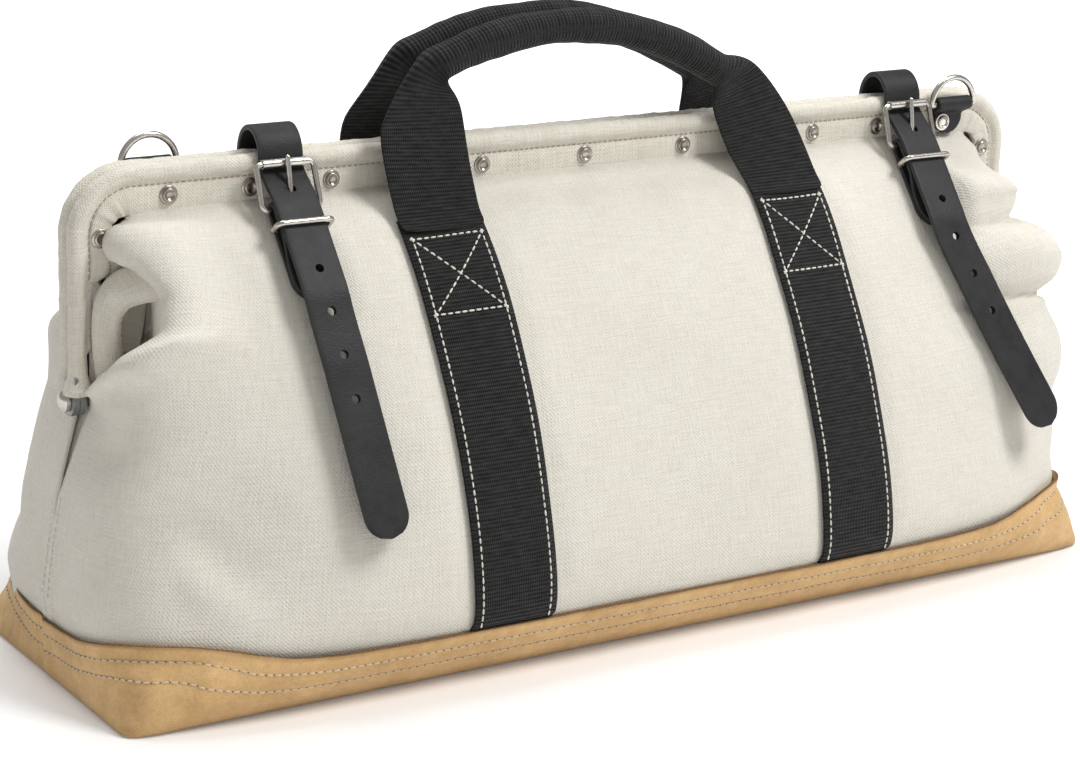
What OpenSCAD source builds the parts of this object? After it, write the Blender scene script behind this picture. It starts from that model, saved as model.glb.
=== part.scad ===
// Steel-framed canvas tool bag, closed and strapped shut, standing on its base.
// X runs along the bag, the buckled front faces -Y, Z is up and the floor is at zero.

/* [Frames] */
// Length over the two covered frames
frame_len = 610; // [560:5:660]
// Height of the covered rails, to their top
rail_h = 268; // [255:1:285]
// Height of the pivots that join the frames
pivot_h = 148; // [140:1:156]
// Diameter of the steel rod of a frame
rod_d = 6.4; // [5:0.1:7]
// Outer diameter of the canvas tunnel round the rod
bead_d = 9.6; // [9:0.1:11]
// Bend radius of a frame's top corners
corner_r = 30; // [24:1:36]
// Gap between the two closed rails
rail_gap = 0.6; // [0.4:0.1:1.5]
// Depth of the riveted flange below the middle of the rail
flange_depth = 22; // [20:0.5:24]
// Thickness of one ply of the flange
ply_t = 1.5; // [1.2:0.1:1.8]

/* [Canvas body] */
// Length of the canvas body at its fullest
belly_len = 644; // [620:2:664]
// Depth of the canvas body at its fullest
belly_depth = 238; // [220:2:260]
// Height at which the body is fullest
belly_h = 45; // [38:1:52]
// Length of the flat base
base_len = 612; // [596:2:624]
// Depth of the flat base
base_depth = 184; // [170:2:196]
// Height where a lower panel hands over to the panel that swings with its frame
split_h = 118; // [110:1:124]
// Thickness of the canvas
canvas_t = 1.5; // [1:0.1:1.8]
// Roundness of the body's slope, where 1 is straight
bulge = 1.5; // [1.3:0.05:1.7]

/* [Base] */
// Thickness of the suede
suede_t = 1.8; // [1.4:0.1:2.4]
// Height of the suede band in the middle of the long sides
suede_h = 29; // [24:1:34]
// Extra height of the band at the four corners
suede_ear_h = 20; // [10:1:24]
// Thickness of the bottom board
board_t = 3; // [2:0.5:5]

/* [Handles] */
// Width of the webbing
web_w = 50; // [40:1:54]
// Thickness of the webbing
web_t = 2.2; // [1.8:0.1:2.6]
// Distance between the middles of the two webbing legs
web_spread = 226; // [216:2:236]
// Height at which the webbing leaves the panel
stitch_top_h = 229; // [222:1:232]
// Diameter of a rolled grip
grip_d = 23; // [20:1:26]
// Height of the middle of a grip's arch
grip_h = 328; // [320:1:340]
// Half the length of a grip between its folds
grip_half = 95; // [88:1:100]
// Height of a grip's ends
grip_end_h = 305; // [300:1:308]
// Diameter of the core inside a grip
core_d = 14; // [10:1:16]

/* [Straps and buckles] */
// Width of the leather straps
strap_w = 25; // [22:1:26]
// Thickness of the leather
strap_t = 3; // [2.4:0.1:3]
// Distance between the two straps
strap_spread = 410; // [400:2:420]
// Offset of both straps towards the right end
strap_shift = 15; // [12:1:18]
// Free height of the strap's arch over the rails
arch_rise = 11; // [7:0.5:14]
// Length of the hanging tail below the chape
tail_len = 118; // [100:1:125]
// Distance between the holes of a strap
hole_pitch = 23; // [20:1:26]
// Wire diameter of buckle and keeper
wire_d = 3.2; // [2.6:0.1:3.2]
// Distance from a buckle's heel bar to its roller
buckle_l = 24; // [22:0.5:26]
// Overall width of a buckle
buckle_w = 36; // [35:0.5:38]
// Outer diameter of a roller
roller_d = 5; // [4.6:0.1:5.2]

/* [Rings and rivets] */
// Diameter of a rivet's cap
cap_d = 10; // [8:0.2:10.5]
// Height of a rivet's cap
cap_h = 2.2; // [1.6:0.1:2.6]
// Outer width of a D-ring
ring_w = 35; // [34:0.5:37]
// Wire diameter of a D-ring
ring_wire = 3.6; // [3:0.1:4]

/* [Hidden] */
$fn = 48;

// Colours as the photograph shows them
canvas_colour = "antiquewhite";
suede_colour = "burlywood";
black_colour = "dimgray";
steel_colour = "slategray";
nickel_colour = "silver";

// Clearances and small sizes
soft_gap = 0.5;      // between soft pieces on different bodies
lay_gap = 0.3;       // between pieces that lie on each other
run_gap = 0.2;       // radial clearance of a running fit
cut_over = 1;        // overrun of every cut
split_gap = 0.4;     // between a lower panel and the swinging one

// Frame
frame_half = frame_len / 2 - bead_d / 2;
rail_y = bead_d / 2 + rail_gap / 2;
rail_c = rail_h - bead_d / 2;
slot_t = canvas_t + 2 * lay_gap;
flange_face = rail_y + slot_t / 2 + ply_t;
flange_back = rail_y - slot_t / 2 - ply_t;
flange_bottom = rail_c - flange_depth;
leg_flange_w = 17;
leg_flange_rise = 64;
leg_flange_h = pivot_h + leg_flange_rise;
leg_strip_w = 7.5;
leg_strip_rise = 27;
leg_strip_h = pivot_h + leg_strip_rise;
flange_in_r = 8;
bead_end_rise = 19;
bead_end_h = pivot_h + bead_end_rise;
neck_h = 12;
neck_w = 10;
flat_t = 3.4;
eye_d = 16;
flat_x = (flat_t + lay_gap) / 2;
bolt_d = 5.6;
head_d = 11;
head_h = 4.6;
nut_h = 2.6;
nut_d = 11;

// Rivet row
rivet_drop = 12;
rivet_h = rail_c - rivet_drop;
shank_d = 4;
clinch_d = 6.8;
clinch_h = 0.9;
rivet_xs = [0, 66, 112, 158, 205, 251];
leg_rivet_drop = 31;
leg_rivet_x = frame_half - rivet_drop;
leg_rivet_h = rail_c - leg_rivet_drop;

// Canvas body
belly_half_l = belly_len / 2;
belly_half_w = belly_depth / 2;
base_half_l = base_len / 2;
base_half_w = base_depth / 2;
crown_drop = 21;
crown_h = rail_h - crown_drop;
leg_inner = frame_half - leg_strip_w - soft_gap - canvas_t / 4;
shoulder_inner = frame_half - leg_flange_w - 2 * soft_gap;
tuck_h = flange_bottom - soft_gap;
tuck_depth = 5;
tongue_h = tuck_h + tuck_depth;
canvas_floor = suede_t + lay_gap;
end_rim_drop = 4;
end_rim_h = pivot_h - end_rim_drop;
open_y = rail_y + canvas_t / 2;
seam_share = 0.68;
seam_h = pivot_h * seam_share;

// Plan directions of a half section, as shares of half length and half depth
end_shares = [0, 0.3, 0.6, 0.85];
side_shares = [0.94, 0.84, 0.7, 0.56, 0.42, 0.28, 0.14];
left_dirs_shares = concat([for (s = end_shares) [-1, s]], [[-1, 1]], [for (s = side_shares) [-s, 1]]);
plan_dirs_shares = concat(left_dirs_shares, [[0, 1]],
    [for (i = [len(left_dirs_shares) - 1:-1:0]) [-left_dirs_shares[i][0], left_dirs_shares[i][1]]]);
tub_level_shares = [0, 0.05, 0.14, 0.26, 0.4, 0.55, 0.7, 0.85, 1];
upper_level_shares = [0, 0.2, 0.38, 0.54, 0.68, 0.8, 0.9, 0.96];

// Outline of the body
function clip01(v) = min(1, max(0, v));
function rise_share(z) = clip01((z - belly_h) / (crown_h - belly_h));
function depth_at(z) = z < belly_h
    ? base_half_w + (belly_half_w - base_half_w) * sin(90 * max(0, z) / belly_h)
    : max(open_y, belly_half_w * pow(max(0, 1 - pow(rise_share(z), bulge)), 1 / bulge));
function length_at(z) = lookup(z, [
    [0, base_half_l], [belly_h, belly_half_l], [seam_h, (belly_half_l * 2 + leg_inner) / 3],
    [end_rim_h, leg_inner], [leg_strip_h, leg_inner], [leg_flange_h - flange_in_r, shoulder_inner],
    [flange_bottom - flange_in_r, shoulder_inner], [tuck_h, shoulder_inner - flange_in_r],
    [tongue_h, shoulder_inner - flange_in_r]]);
function power_at(z) = lookup(z, [[0, 9], [belly_h, 6], [pivot_h, 3.6], [crown_h, 3]]);
function edge_y(z) = lookup(z, [[seam_h, 0], [end_rim_h, open_y]]);
function wall_y(x, z) = let (n = power_at(z), y0 = edge_y(z))
    y0 + (depth_at(z) - y0) * pow(max(0, 1 - pow(abs(x) / length_at(z), n)), 1 / n);
function unit_dir(d, n) = d / pow(pow(abs(d[0]), n) + pow(abs(d[1]), n), 1 / n);
function plan_point(d, z, off) = let (u = unit_dir(d, power_at(z)), y0 = edge_y(z))
    [(length_at(z) + off) * u[0], -(y0 + (depth_at(z) + off - y0) * u[1]), z];
function rim_h(d) = d[1] >= 1 ? split_h : split_h + (end_rim_h - split_h) * pow(1 - d[1], 0.7);
function ear_share(d) = let (u = unit_dir(d, power_at(suede_h))) pow(1.28 * abs(u[0] * u[1]), 4);

// Grid of points to a closed shell: outer rows and inner rows, open at top and bottom
module shell_band(outer, inner) {
    n = len(outer[0]);
    m = len(outer);
    k = n * m;
    polyhedron(points = concat([for (r = outer) each r], [for (r = inner) each r]), faces = concat(
        [for (j = [0:m - 2], i = [0:n - 2]) each quad(j * n + i, j * n + i + 1, n)],
        [for (j = [0:m - 2], i = [0:n - 2]) each flip(quad(k + j * n + i, k + j * n + i + 1, n))],
        [for (i = [0:n - 2]) each [[(m - 1) * n + i, k + (m - 1) * n + i, (m - 1) * n + i + 1],
            [(m - 1) * n + i + 1, k + (m - 1) * n + i, k + (m - 1) * n + i + 1]]],
        [for (i = [0:n - 2]) each [[i, i + 1, k + i], [i + 1, k + i + 1, k + i]]],
        [for (j = [0:m - 2]) each [[j * n, k + j * n, (j + 1) * n],
            [(j + 1) * n, k + j * n, k + (j + 1) * n]]],
        [for (j = [0:m - 2]) each [[j * n + n - 1, (j + 1) * n + n - 1, k + j * n + n - 1],
            [(j + 1) * n + n - 1, k + (j + 1) * n + n - 1, k + j * n + n - 1]]]));
}

// Two triangles of one grid cell, and the same turned over
function quad(a, b, n) = [[a, a + n, b], [b, a + n, b + n]];
function flip(list) = [for (t = list) [t[0], t[2], t[1]]];

// Grid of points to a closed half tub: as the band, with a flat bottom
module shell_tub(outer, inner) {
    n = len(outer[0]);
    m = len(outer);
    k = n * m;
    polyhedron(points = concat([for (r = outer) each r], [for (r = inner) each r]), faces = concat(
        [for (j = [0:m - 2], i = [0:n - 2]) each quad(j * n + i, j * n + i + 1, n)],
        [for (j = [0:m - 2], i = [0:n - 2]) each flip(quad(k + j * n + i, k + j * n + i + 1, n))],
        [for (i = [0:n - 2]) each [[(m - 1) * n + i, k + (m - 1) * n + i, (m - 1) * n + i + 1],
            [(m - 1) * n + i + 1, k + (m - 1) * n + i, k + (m - 1) * n + i + 1]]],
        [[for (i = [0:n - 1]) i]],
        [[for (i = [n - 1:-1:0]) k + i]],
        [[0, n - 1, k], [n - 1, k + n - 1, k]],
        [for (j = [0:m - 2]) each [[j * n, k + j * n, (j + 1) * n],
            [(j + 1) * n, k + j * n, k + (j + 1) * n]]],
        [for (j = [0:m - 2]) each [[j * n + n - 1, (j + 1) * n + n - 1, k + j * n + n - 1],
            [(j + 1) * n + n - 1, k + (j + 1) * n + n - 1, k + j * n + n - 1]]]));
}

// Front half of the lower canvas
module canvas_lower() {
    function row(s, off, lift) = [for (d = plan_dirs_shares)
        let (low = canvas_floor + lift, z = low + s * (rim_h(d) - split_gap / 2 - low))
        plan_point(d, z, off)];
    shell_tub([for (s = tub_level_shares) row(s, 0, 0)],
        [for (s = tub_level_shares) row(s, -canvas_t, canvas_t)]);
}

// Front panel that swings with its frame, with its top edge tucked into the flange
module canvas_upper() {
    function row(s, off) = [for (d = plan_dirs_shares)
        let (low = rim_h(d) + split_gap / 2) plan_point(d, low + s * (tuck_h - low), off)];
    function neck(z, off) = [for (d = plan_dirs_shares)
        let (u = unit_dir(d, power_at(z)), lean = 0.3 + 0.7 * u[1])
        [(length_at(tuck_h) + off) * u[0], -(open_y + off * lean), z]];
    shell_band(concat([for (s = upper_level_shares) row(s, 0)], [neck(tuck_h, 0), neck(tongue_h, 0)]),
        concat([for (s = upper_level_shares) row(s, -canvas_t)],
            [neck(tuck_h, -canvas_t), neck(tongue_h, -canvas_t)]));
}

// Strip that lies on the front wall, between two heights, centred on x
module wall_strip(x, w, z0, z1, lift, t, steps) {
    cols_shares = [-0.5, 0, 0.5];
    function row(s, off) = [for (c = cols_shares)
        let (z = z0 + s * (z1 - z0)) [x + c * w, -(wall_y(x + c * w, z) + off), z]];
    shell_band([for (s = [0:steps]) row(s / steps, lift + t)], [for (s = [0:steps]) row(s / steps, lift)]);
}

// Suede tray: a flat bottom and a band that stands taller at the corners
suede_gap = 1.2;
module suede_base() {
    out = suede_t + suede_gap;
    band_level_shares = [0, 0.12, 0.35, 0.6, 0.82, 1];
    function top(d) = suede_h + suede_ear_h * ear_share(d);
    function row(s, off, low) = concat(
        [for (d = plan_dirs_shares) plan_point(d, low + s * (top(d) - low), off)],
        [for (i = [len(plan_dirs_shares) - 2:-1:1]) let (d = plan_dirs_shares[i],
            p = plan_point(d, low + s * (top(d) - low), off)) [p[0], -p[1], p[2]]]);
    outer = [for (s = band_level_shares) row(s, out, 0)];
    inner = [for (s = band_level_shares) row(s, suede_gap, suede_t)];
    n = len(outer[0]);
    m = len(outer);
    k = n * m;
    color(suede_colour)
    polyhedron(points = concat([for (r = outer) each r], [for (r = inner) each r]), faces = concat(
        [for (j = [0:m - 2], i = [0:n - 1]) each ring_quad(0, j, i, n)],
        [for (j = [0:m - 2], i = [0:n - 1]) each flip(ring_quad(k, j, i, n))],
        [for (i = [0:n - 1]) let (a = (m - 1) * n + i, b = (m - 1) * n + (i + 1) % n)
            each [[a, k + a, b], [b, k + a, k + b]]],
        [[for (i = [0:n - 1]) i]], [[for (i = [n - 1:-1:0]) k + i]]));
}

// Two triangles of one cell of a closed ring grid
function ring_quad(o, j, i, n) = let (a = o + j * n + i, b = o + j * n + (i + 1) % n)
    [[a, a + n, b], [b, a + n, b + n]];

// Board that stiffens the bottom, inside the canvas
board_corner_r = 40;
board_play = 4;
module bottom_board() {
    z0 = canvas_floor + canvas_t + lay_gap;
    inset = canvas_t + board_play;
    half_l = base_half_l - inset;
    half_w = base_half_w - inset;
    r = board_corner_r;
    color("tan") translate([0, 0, z0]) linear_extrude(board_t) union() {
        square([2 * (half_l - r), 2 * half_w], center = true);
        square([2 * half_l, 2 * (half_w - r)], center = true);
        for (sx = [-1, 1], sy = [-1, 1]) translate([sx * (half_l - r), sy * (half_w - r)]) circle(r);
    }
}

// Both sewn strips of the webbing below the split
web_foot = 2;
module webbing_lower() {
    for (s = [-1, 1]) wall_strip(s * web_spread / 2, web_w, suede_h + web_foot,
        split_h - split_gap, soft_gap, web_t, 7);
}

// Both sewn strips of the webbing above the split, up to the top of the stitched box
module webbing_upper() {
    for (s = [-1, 1]) wall_strip(s * web_spread / 2, web_w, split_h + split_gap, stitch_top_h,
        soft_gap, web_t, 10);
}

// Extrude an outline drawn in Y and Z along X, centred
module across(w) {
    rotate([90, 0, 90]) translate([0, 0, -w / 2]) linear_extrude(w) children();
}

// Tube or rod along a frame: two legs, two bends and the rail
module u_run(d, leg_low) {
    straight = frame_half - corner_r;
    leg_l = rail_c - corner_r - leg_low;
    for (s = [-1, 1]) {
        translate([s * frame_half, -rail_y, leg_low]) cylinder(d = d, h = leg_l);
        translate([s * straight, -rail_y, rail_c - corner_r]) rotate([90, 0, 0])
            rotate([0, 0, s > 0 ? 0 : 90]) rotate_extrude(angle = 90) translate([corner_r, 0]) circle(d = d);
    }
    translate([-straight, -rail_y, rail_c]) rotate([0, 90, 0]) cylinder(d = d, h = 2 * straight);
}

// Flat area under a rounded arch, drawn in X and Z
module arch_area(half, top, r, low) {
    translate([-half, low]) square([2 * half, top - r - low]);
    translate([-half + r, top - r - cut_over]) square([2 * (half - r), r + cut_over]);
    for (s = [-1, 1]) translate([s * (half - r), top - r]) intersection() {
        circle(r);
        translate([-r, -cut_over]) square([2 * r, r + cut_over]);
    }
}

// One ply of the flange, standing in the X-Z plane
module flange_ply() {
    rotate([90, 0, 0]) linear_extrude(ply_t) {
        difference() {
            arch_area(frame_half, rail_c, corner_r, leg_flange_h);
            arch_area(frame_half - leg_flange_w, flange_bottom, flange_in_r, leg_flange_h - cut_over);
        }
        for (s = [-1, 1])
            translate([s * (frame_half - leg_strip_w / 2), (leg_strip_h + leg_flange_h + cut_over) / 2])
            square([leg_strip_w, leg_flange_h + cut_over - leg_strip_h], center = true);
    }
}

// Where the plain rivets of a half stand, in X and Z, less those that another piece takes over
function covered(x, list) = len([for (k = list) if (abs(x - k[0]) < k[1] + cap_d / 2) 1]) > 0;
function rivet_spots(list) = concat(
    [for (s = [-1, 1], x = rivet_xs) if ((x > 0 || s > 0) && !covered(s * x, list)) [s * x, rivet_h]],
    [for (s = [-1, 1]) [s * leg_rivet_x, leg_rivet_h]]);
function strap_x(s) = s * strap_spread / 2 + strap_shift;
tab_w = ring_w - 2 * ring_wire - 6 * soft_gap;
ring_lean = 5;
right_ring_x = strap_x(1) + buckle_w / 2 + soft_gap + ring_w / 2;
right_rivet_x = right_ring_x - ring_lean;
left_ring_x = rivet_xs[5];
front_covered = [[right_ring_x, tab_w / 2]];
back_covered = [[-left_ring_x, tab_w / 2], [strap_x(-1), strap_w / 2], [strap_x(1), strap_w / 2]];
anchor_rise = 4;
anchor_pitch = 7;
function anchor_spots() = [for (s = [-1, 1], d = [0, 1])
    [strap_x(s), rivet_h + anchor_rise - d * anchor_pitch]];

// Tunnel round the rod and two-ply flange, drilled for the given rivets
module rim_binding(spots) {
    difference() {
        union() {
            u_run(bead_d, bead_end_h);
            translate([0, -flange_face + ply_t, 0]) flange_ply();
            translate([0, -flange_back, 0]) flange_ply();
        }
        u_run(rod_d + 2 * run_gap, bead_end_h - cut_over);
        for (p = spots) translate([p[0], -flange_face - cut_over, p[1]]) rotate([-90, 0, 0])
            cylinder(d = shank_d + 2 * run_gap, h = flange_face - flange_back + 2 * cut_over);
    }
}

// Steel rod with flattened, drilled ends that swing on the bolts
module frame_rod(side) {
    rod_low = pivot_h + neck_h;
    eye_side = eye_d * 0.42;
    neck_side = neck_w * 0.44;
    for (s = [-1, 1]) translate([s * (frame_half + side * flat_x), 0, pivot_h]) across(flat_t) difference() {
        union() {
            circle(d = eye_d);
            polygon([[-eye_side, 0], [eye_side, 0],
                    [neck_side - rail_y, neck_h], [-neck_side - rail_y, neck_h]]);
            translate([-rail_y, neck_h]) circle(d = neck_w);
        }
        circle(d = bolt_d + 2 * run_gap);
    }
    u_run(rod_d, rod_low);
}

// Pivot bolt with a domed head outside the frames
module hinge_bolt(s) {
    outer = frame_half + flat_x + flat_t / 2 + run_gap;
    inner = frame_half - flat_x - flat_t / 2 - run_gap - nut_h;
    shank_l = outer - inner;
    dome_r = (pow(head_d / 2, 2) + pow(head_h / 2, 2)) / head_h;
    color(nickel_colour) translate([0, 0, pivot_h]) mirror([s < 0 ? 1 : 0, 0, 0]) {
        translate([inner, 0, 0]) rotate([0, 90, 0]) cylinder(d = bolt_d, h = shank_l + head_h / 2);
        translate([outer, 0, 0]) rotate([0, 90, 0]) rotate_extrude() intersection() {
            union() {
                square([head_d / 2, head_h / 2]);
                translate([0, head_h - dome_r]) circle(dome_r);
            }
            square([head_d / 2, head_h]);
        }
    }
}

// Flat nut on the inside of a pivot bolt
module hinge_nut(s) {
    outer = frame_half - flat_x - flat_t / 2 - run_gap;
    color(steel_colour) translate([s * (outer - nut_h / 2), 0, pivot_h]) rotate([0, 90, 0]) difference() {
        cylinder(d = nut_d, h = nut_h, center = true, $fn = 6);
        cylinder(d = bolt_d + run_gap, h = nut_h + 2 * cut_over, center = true);
    }
}

// Rivet with a dimpled cap in front; depth is the thickness it holds
module rivet(depth) {
    rim = cap_d / 2;
    dimple = rim * 0.5;
    rotate([90, 0, 0]) {
        translate([0, 0, -depth]) cylinder(d = shank_d, h = depth);
        translate([0, 0, -depth - clinch_h]) cylinder(d = clinch_d, h = clinch_h);
        rotate_extrude() polygon([[0, 0], [rim, 0], [rim, cap_h * 0.3], [rim * 0.8, cap_h * 0.35],
            [rim * 0.75, cap_h * 0.9], [rim * 0.62, cap_h],
            [dimple, cap_h * 0.8], [dimple * 0.8, cap_h * 0.5],
            [0, cap_h * 0.5]]);
    }
}

module rivets_at(spots) {
    for (p = spots) translate([p[0], -flange_face, p[1]]) rivet(flange_face - flange_back);
}

// Chape, buckle and strap share one section across the bag, worked out for each strap.
// A point in that section is [y, z]. The chape lies on the chord of the wall between two heights.
chape_drop = 35;
chape_span = 40;
chape_top_h = rail_h - chape_drop;
chape_low_h = chape_top_h - chape_span;
chape_lift = 2.3;
heel_up = 6;
fold_r = wire_d / 2 + 2 * run_gap;
chape_t = 2.5;
chape_l = 51;
pinch_down = 18;
pinch_l = 11;
strap_front = rail_y + bead_d / 2 + soft_gap + strap_t / 2 + lay_gap / 2;
roller_y = strap_front + strap_t / 2 + lay_gap + roller_d / 2;
heel_out = chape_lift + chape_t + fold_r;
strap_out = chape_lift + 2 * chape_t + 2 * fold_r + lay_gap + strap_t / 2;
function top_y(x) = wall_y(x, chape_top_h);
function tilt(x) = atan2(wall_y(x, chape_low_h) - top_y(x), chape_top_h - chape_low_h);
function on_chord(x, out, up) = [-top_y(x) - out * cos(tilt(x)) + up * sin(tilt(x)),
    chape_top_h + out * sin(tilt(x)) + up * cos(tilt(x))];
function heel(x) = on_chord(x, heel_out, heel_up);
function buckle_tilt(x) = asin((-roller_y - heel(x)[0]) / buckle_l);
function roller_at(x) = [-roller_y, heel(x)[1] + buckle_l * cos(buckle_tilt(x))];
module in_chape(x) {
    translate([x, -top_y(x), chape_top_h]) rotate([-tilt(x), 0, 0]) children();
}
module in_buckle(x) {
    translate([x, heel(x)[0], heel(x)[1]]) rotate([-buckle_tilt(x), 0, 0]) children();
}

// Chape: a leather loop round the heel bar, both plies closing towards a rivet
rivet_down = chape_l - strap_w / 2 - heel_up;
slot_clear = 2.3;
module chape(x) {
    slot_w = wire_d + 2 * slot_clear;
    outer_face = heel_out + fold_r + chape_t;
    low_face = chape_lift + 2 * chape_t;
    mid_face = chape_lift + chape_t;
    foot = heel_up - chape_l;
    color(black_colour) in_chape(x) difference() {
        intersection() {
            across(strap_w) difference() {
                union() {
                    translate([-heel_out, heel_up]) circle(fold_r + chape_t);
                    polygon([[-chape_lift, heel_up], [-outer_face, heel_up],
                            [-outer_face, heel_up - pinch_down],
                        [-low_face, heel_up - pinch_down - pinch_l], [-low_face, foot], [-chape_lift, foot]]);
                }
                translate([-heel_out, heel_up]) circle(fold_r);
                polygon([[-mid_face, heel_up], [-outer_face + chape_t, heel_up],
                    [-outer_face + chape_t, heel_up - pinch_down],
                    [-mid_face, heel_up - pinch_down - pinch_l]]);
            }
            rotate([90, 0, 0]) translate([0, 0, -cut_over])
                linear_extrude(outer_face + 2 * cut_over) union() {
                translate([-strap_w / 2 - cut_over, foot + strap_w / 2])
                    square([strap_w + 2 * cut_over, chape_l + outer_face]);
                translate([0, foot + strap_w / 2]) circle(d = strap_w);
            }
        }
        translate([-slot_w / 2, -outer_face - cut_over, heel_up - fold_r - chape_t])
            cube([slot_w, outer_face + cut_over, 2 * (fold_r + chape_t) + cut_over]);
        translate([0, -chape_lift + cut_over, -rivet_down]) rotate([90, 0, 0])
            cylinder(d = shank_d + 2 * run_gap, h = 2 * chape_t + 2 * cut_over);
    }
}

// Rivet that holds a chape to the front panel, under the tail of the strap
module chape_rivet(x) {
    plate = 1;
    color(nickel_colour) in_chape(x)
    translate([0, -chape_lift - 2 * chape_t, -rivet_down]) rotate([90, 0, 0]) {
        translate([0, 0, -2 * chape_t]) cylinder(d = shank_d, h = 2 * chape_t);
        translate([0, 0, -2 * chape_t - plate]) cylinder(d = clinch_d, h = plate);
        cylinder(d = cap_d, h = plate);
    }
}

// Closed wire loop in the X-Z plane, centred on X, from z0 up to z1, corners bent at r
module wire_loop(w, z0, z1, r, d) {
    for (z = [z0, z1]) translate([-w / 2 + r, 0, z]) rotate([0, 90, 0]) cylinder(d = d, h = w - 2 * r);
    for (s = [-1, 1]) translate([s * w / 2, 0, z0 + r]) cylinder(d = d, h = z1 - z0 - 2 * r);
    for (sx = [0, 1], sz = [0, 1]) mirror([sx, 0, 0]) translate([w / 2 - r, 0, sz > 0 ? z1 - r : z0 + r])
        mirror([0, 0, 1 - sz]) rotate([90, 0, 0]) rotate_extrude(angle = 90) translate([r, 0]) circle(d = d);
}

module buckle_frame(x) {
    color(nickel_colour) in_buckle(x) wire_loop(buckle_w - wire_d, 0, buckle_l, wire_d, wire_d);
}

// Roller that turns on the buckle's front bar
module roller(x) {
    roller_w = buckle_w - 3 * wire_d - 2 * run_gap;
    color(nickel_colour) in_buckle(x) translate([0, 0, buckle_l]) rotate([0, 90, 0]) difference() {
        cylinder(d = roller_d, h = roller_w, center = true);
        cylinder(d = wire_d + 2 * run_gap, h = roller_w + 2 * cut_over, center = true);
    }
}

// Tongue: an eye round the heel bar and a pin that rests on the roller
tongue_d = 2.8;
tongue_out = roller_d / 2 + tongue_d / 2 + lay_gap;
tongue_turn = asin(tongue_out / buckle_l);
tongue_over = 2.4;
tongue_l = buckle_l + tongue_over;
eye_wall = 1.6;
module tongue(x) {
    eye_w = wire_d;
    eye_r = wire_d / 2 + run_gap;
    color(nickel_colour) in_buckle(x) rotate([tongue_turn, 0, 0]) difference() {
        union() {
            rotate([0, 90, 0]) cylinder(r = eye_r + eye_wall, h = eye_w, center = true);
            cylinder(d = tongue_d, h = tongue_l);
            translate([0, 0, tongue_l]) sphere(d = tongue_d);
        }
        rotate([0, 90, 0]) cylinder(r = eye_r, h = eye_w + 2 * cut_over, center = true);
    }
}

// Keeper: a wire loop through the chape's fold and over the tail of the strap
keeper_down = 12;
keeper_clear = 1.5;
module keeper(x) {
    inside = heel_out;
    outside = strap_out + strap_t / 2 + lay_gap + wire_d / 2;
    w = strap_w + 2 * keeper_clear + wire_d;
    color(nickel_colour) in_chape(x) translate([0, 0, heel_up - keeper_down]) rotate([90, 0, 0])
        wire_loop(w, inside, outside, wire_d, wire_d);
}

// Ribbon of even thickness along points of a section
function ribbon(p, t) = let (
    n = len(p),
    side = [for (i = [0:n - 1]) let (
        a = i == 0 ? p[1] - p[0] : p[i] - p[i - 1],
        b = i == n - 1 ? p[n - 1] - p[n - 2] : p[i + 1] - p[i],
        ua = a / norm(a), ub = b / norm(b), m = (ua + ub) / norm(ua + ub))
        [-m[1], m[0]] / max(0.5, m * ub)])
    concat([for (i = [0:n - 1]) p[i] + side[i] * t / 2], [for (i = [n - 1:-1:0]) p[i] - side[i] * t / 2]);

// Strap: an arch over both rails, under the roller, over the heel bar and down
arch_foot = 2;
strap_low = rail_c + arch_foot;
arch_h = rail_h + arch_rise + strap_t / 2 - strap_low;
anchor_top = strap_low - split_gap;
under_roller = 4;
knee_up = 1;
tail_turn = 11;
function under_point(x) = [-strap_front, roller_at(x)[1] - under_roller];
function strap_knee(x) = on_chord(x, strap_out, heel_up + knee_up);
function strap_hip(x) = on_chord(x, strap_out, heel_up - chape_l);
function tail_tilt(x) = tilt(x) - tail_turn;
function on_tail(x, down) = strap_hip(x) - down * [sin(tail_tilt(x)), cos(tail_tilt(x))];
function strap_path(x) = concat(
    [for (a = [0:15:180]) [strap_front * cos(a), strap_low + arch_h * sin(a)]],
    [under_point(x), strap_knee(x), strap_hip(x)]);
function pierce(x) = let (h = heel(x), u = buckle_tilt(x) - tongue_turn, k = strap_knee(x),
    p = under_point(x), d = k - p, t = [sin(u), cos(u)],
    w = h - p, s = (w[0] * t[1] - w[1] * t[0]) / (d[0] * t[1] - d[1] * t[0])) p + s * d;
module strap(x) {
    knee = strap_knee(x);
    hole_d = 5;
    tip = on_tail(x, tail_len - strap_w / 2);
    color(black_colour) difference() {
        translate([x, 0, 0]) across(strap_w)
            polygon(ribbon(concat(strap_path(x), [on_tail(x, tail_len)]), strap_t));
        translate([x, tip[0], tip[1]]) rotate([90 - tail_tilt(x), 0, 0])
            linear_extrude(4 * strap_t, center = true) difference() {
                translate([-strap_w, -strap_w]) square([2 * strap_w, strap_w]);
                circle(d = strap_w * 1.04);
            }
        translate([x, pierce(x)[0], pierce(x)[1]]) rotate([tongue_turn - buckle_tilt(x), 0, 0])
            cylinder(d = hole_d, h = 4 * strap_t, center = true);
        for (i = [2:5]) hole_at(x, i * hole_pitch - norm(pierce(x) - knee), hole_d);
    }
}

// Punched hole at a distance along the strap from its bend over the heel bar
module hole_at(x, s, d) {
    hip = strap_hip(x);
    knee = strap_knee(x);
    first = norm(hip - knee);
    at = s < first ? knee + (hip - knee) * s / first : hip;
    turn = s < first ? tilt(x) : tail_tilt(x);
    down = max(0, s - first);
    translate([x, at[0], at[1]]) rotate([-turn, 0, 0]) translate([0, 0, -down]) rotate([90, 0, 0])
        cylinder(d = d * 0.8, h = 4 * strap_t, center = true);
}

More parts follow.
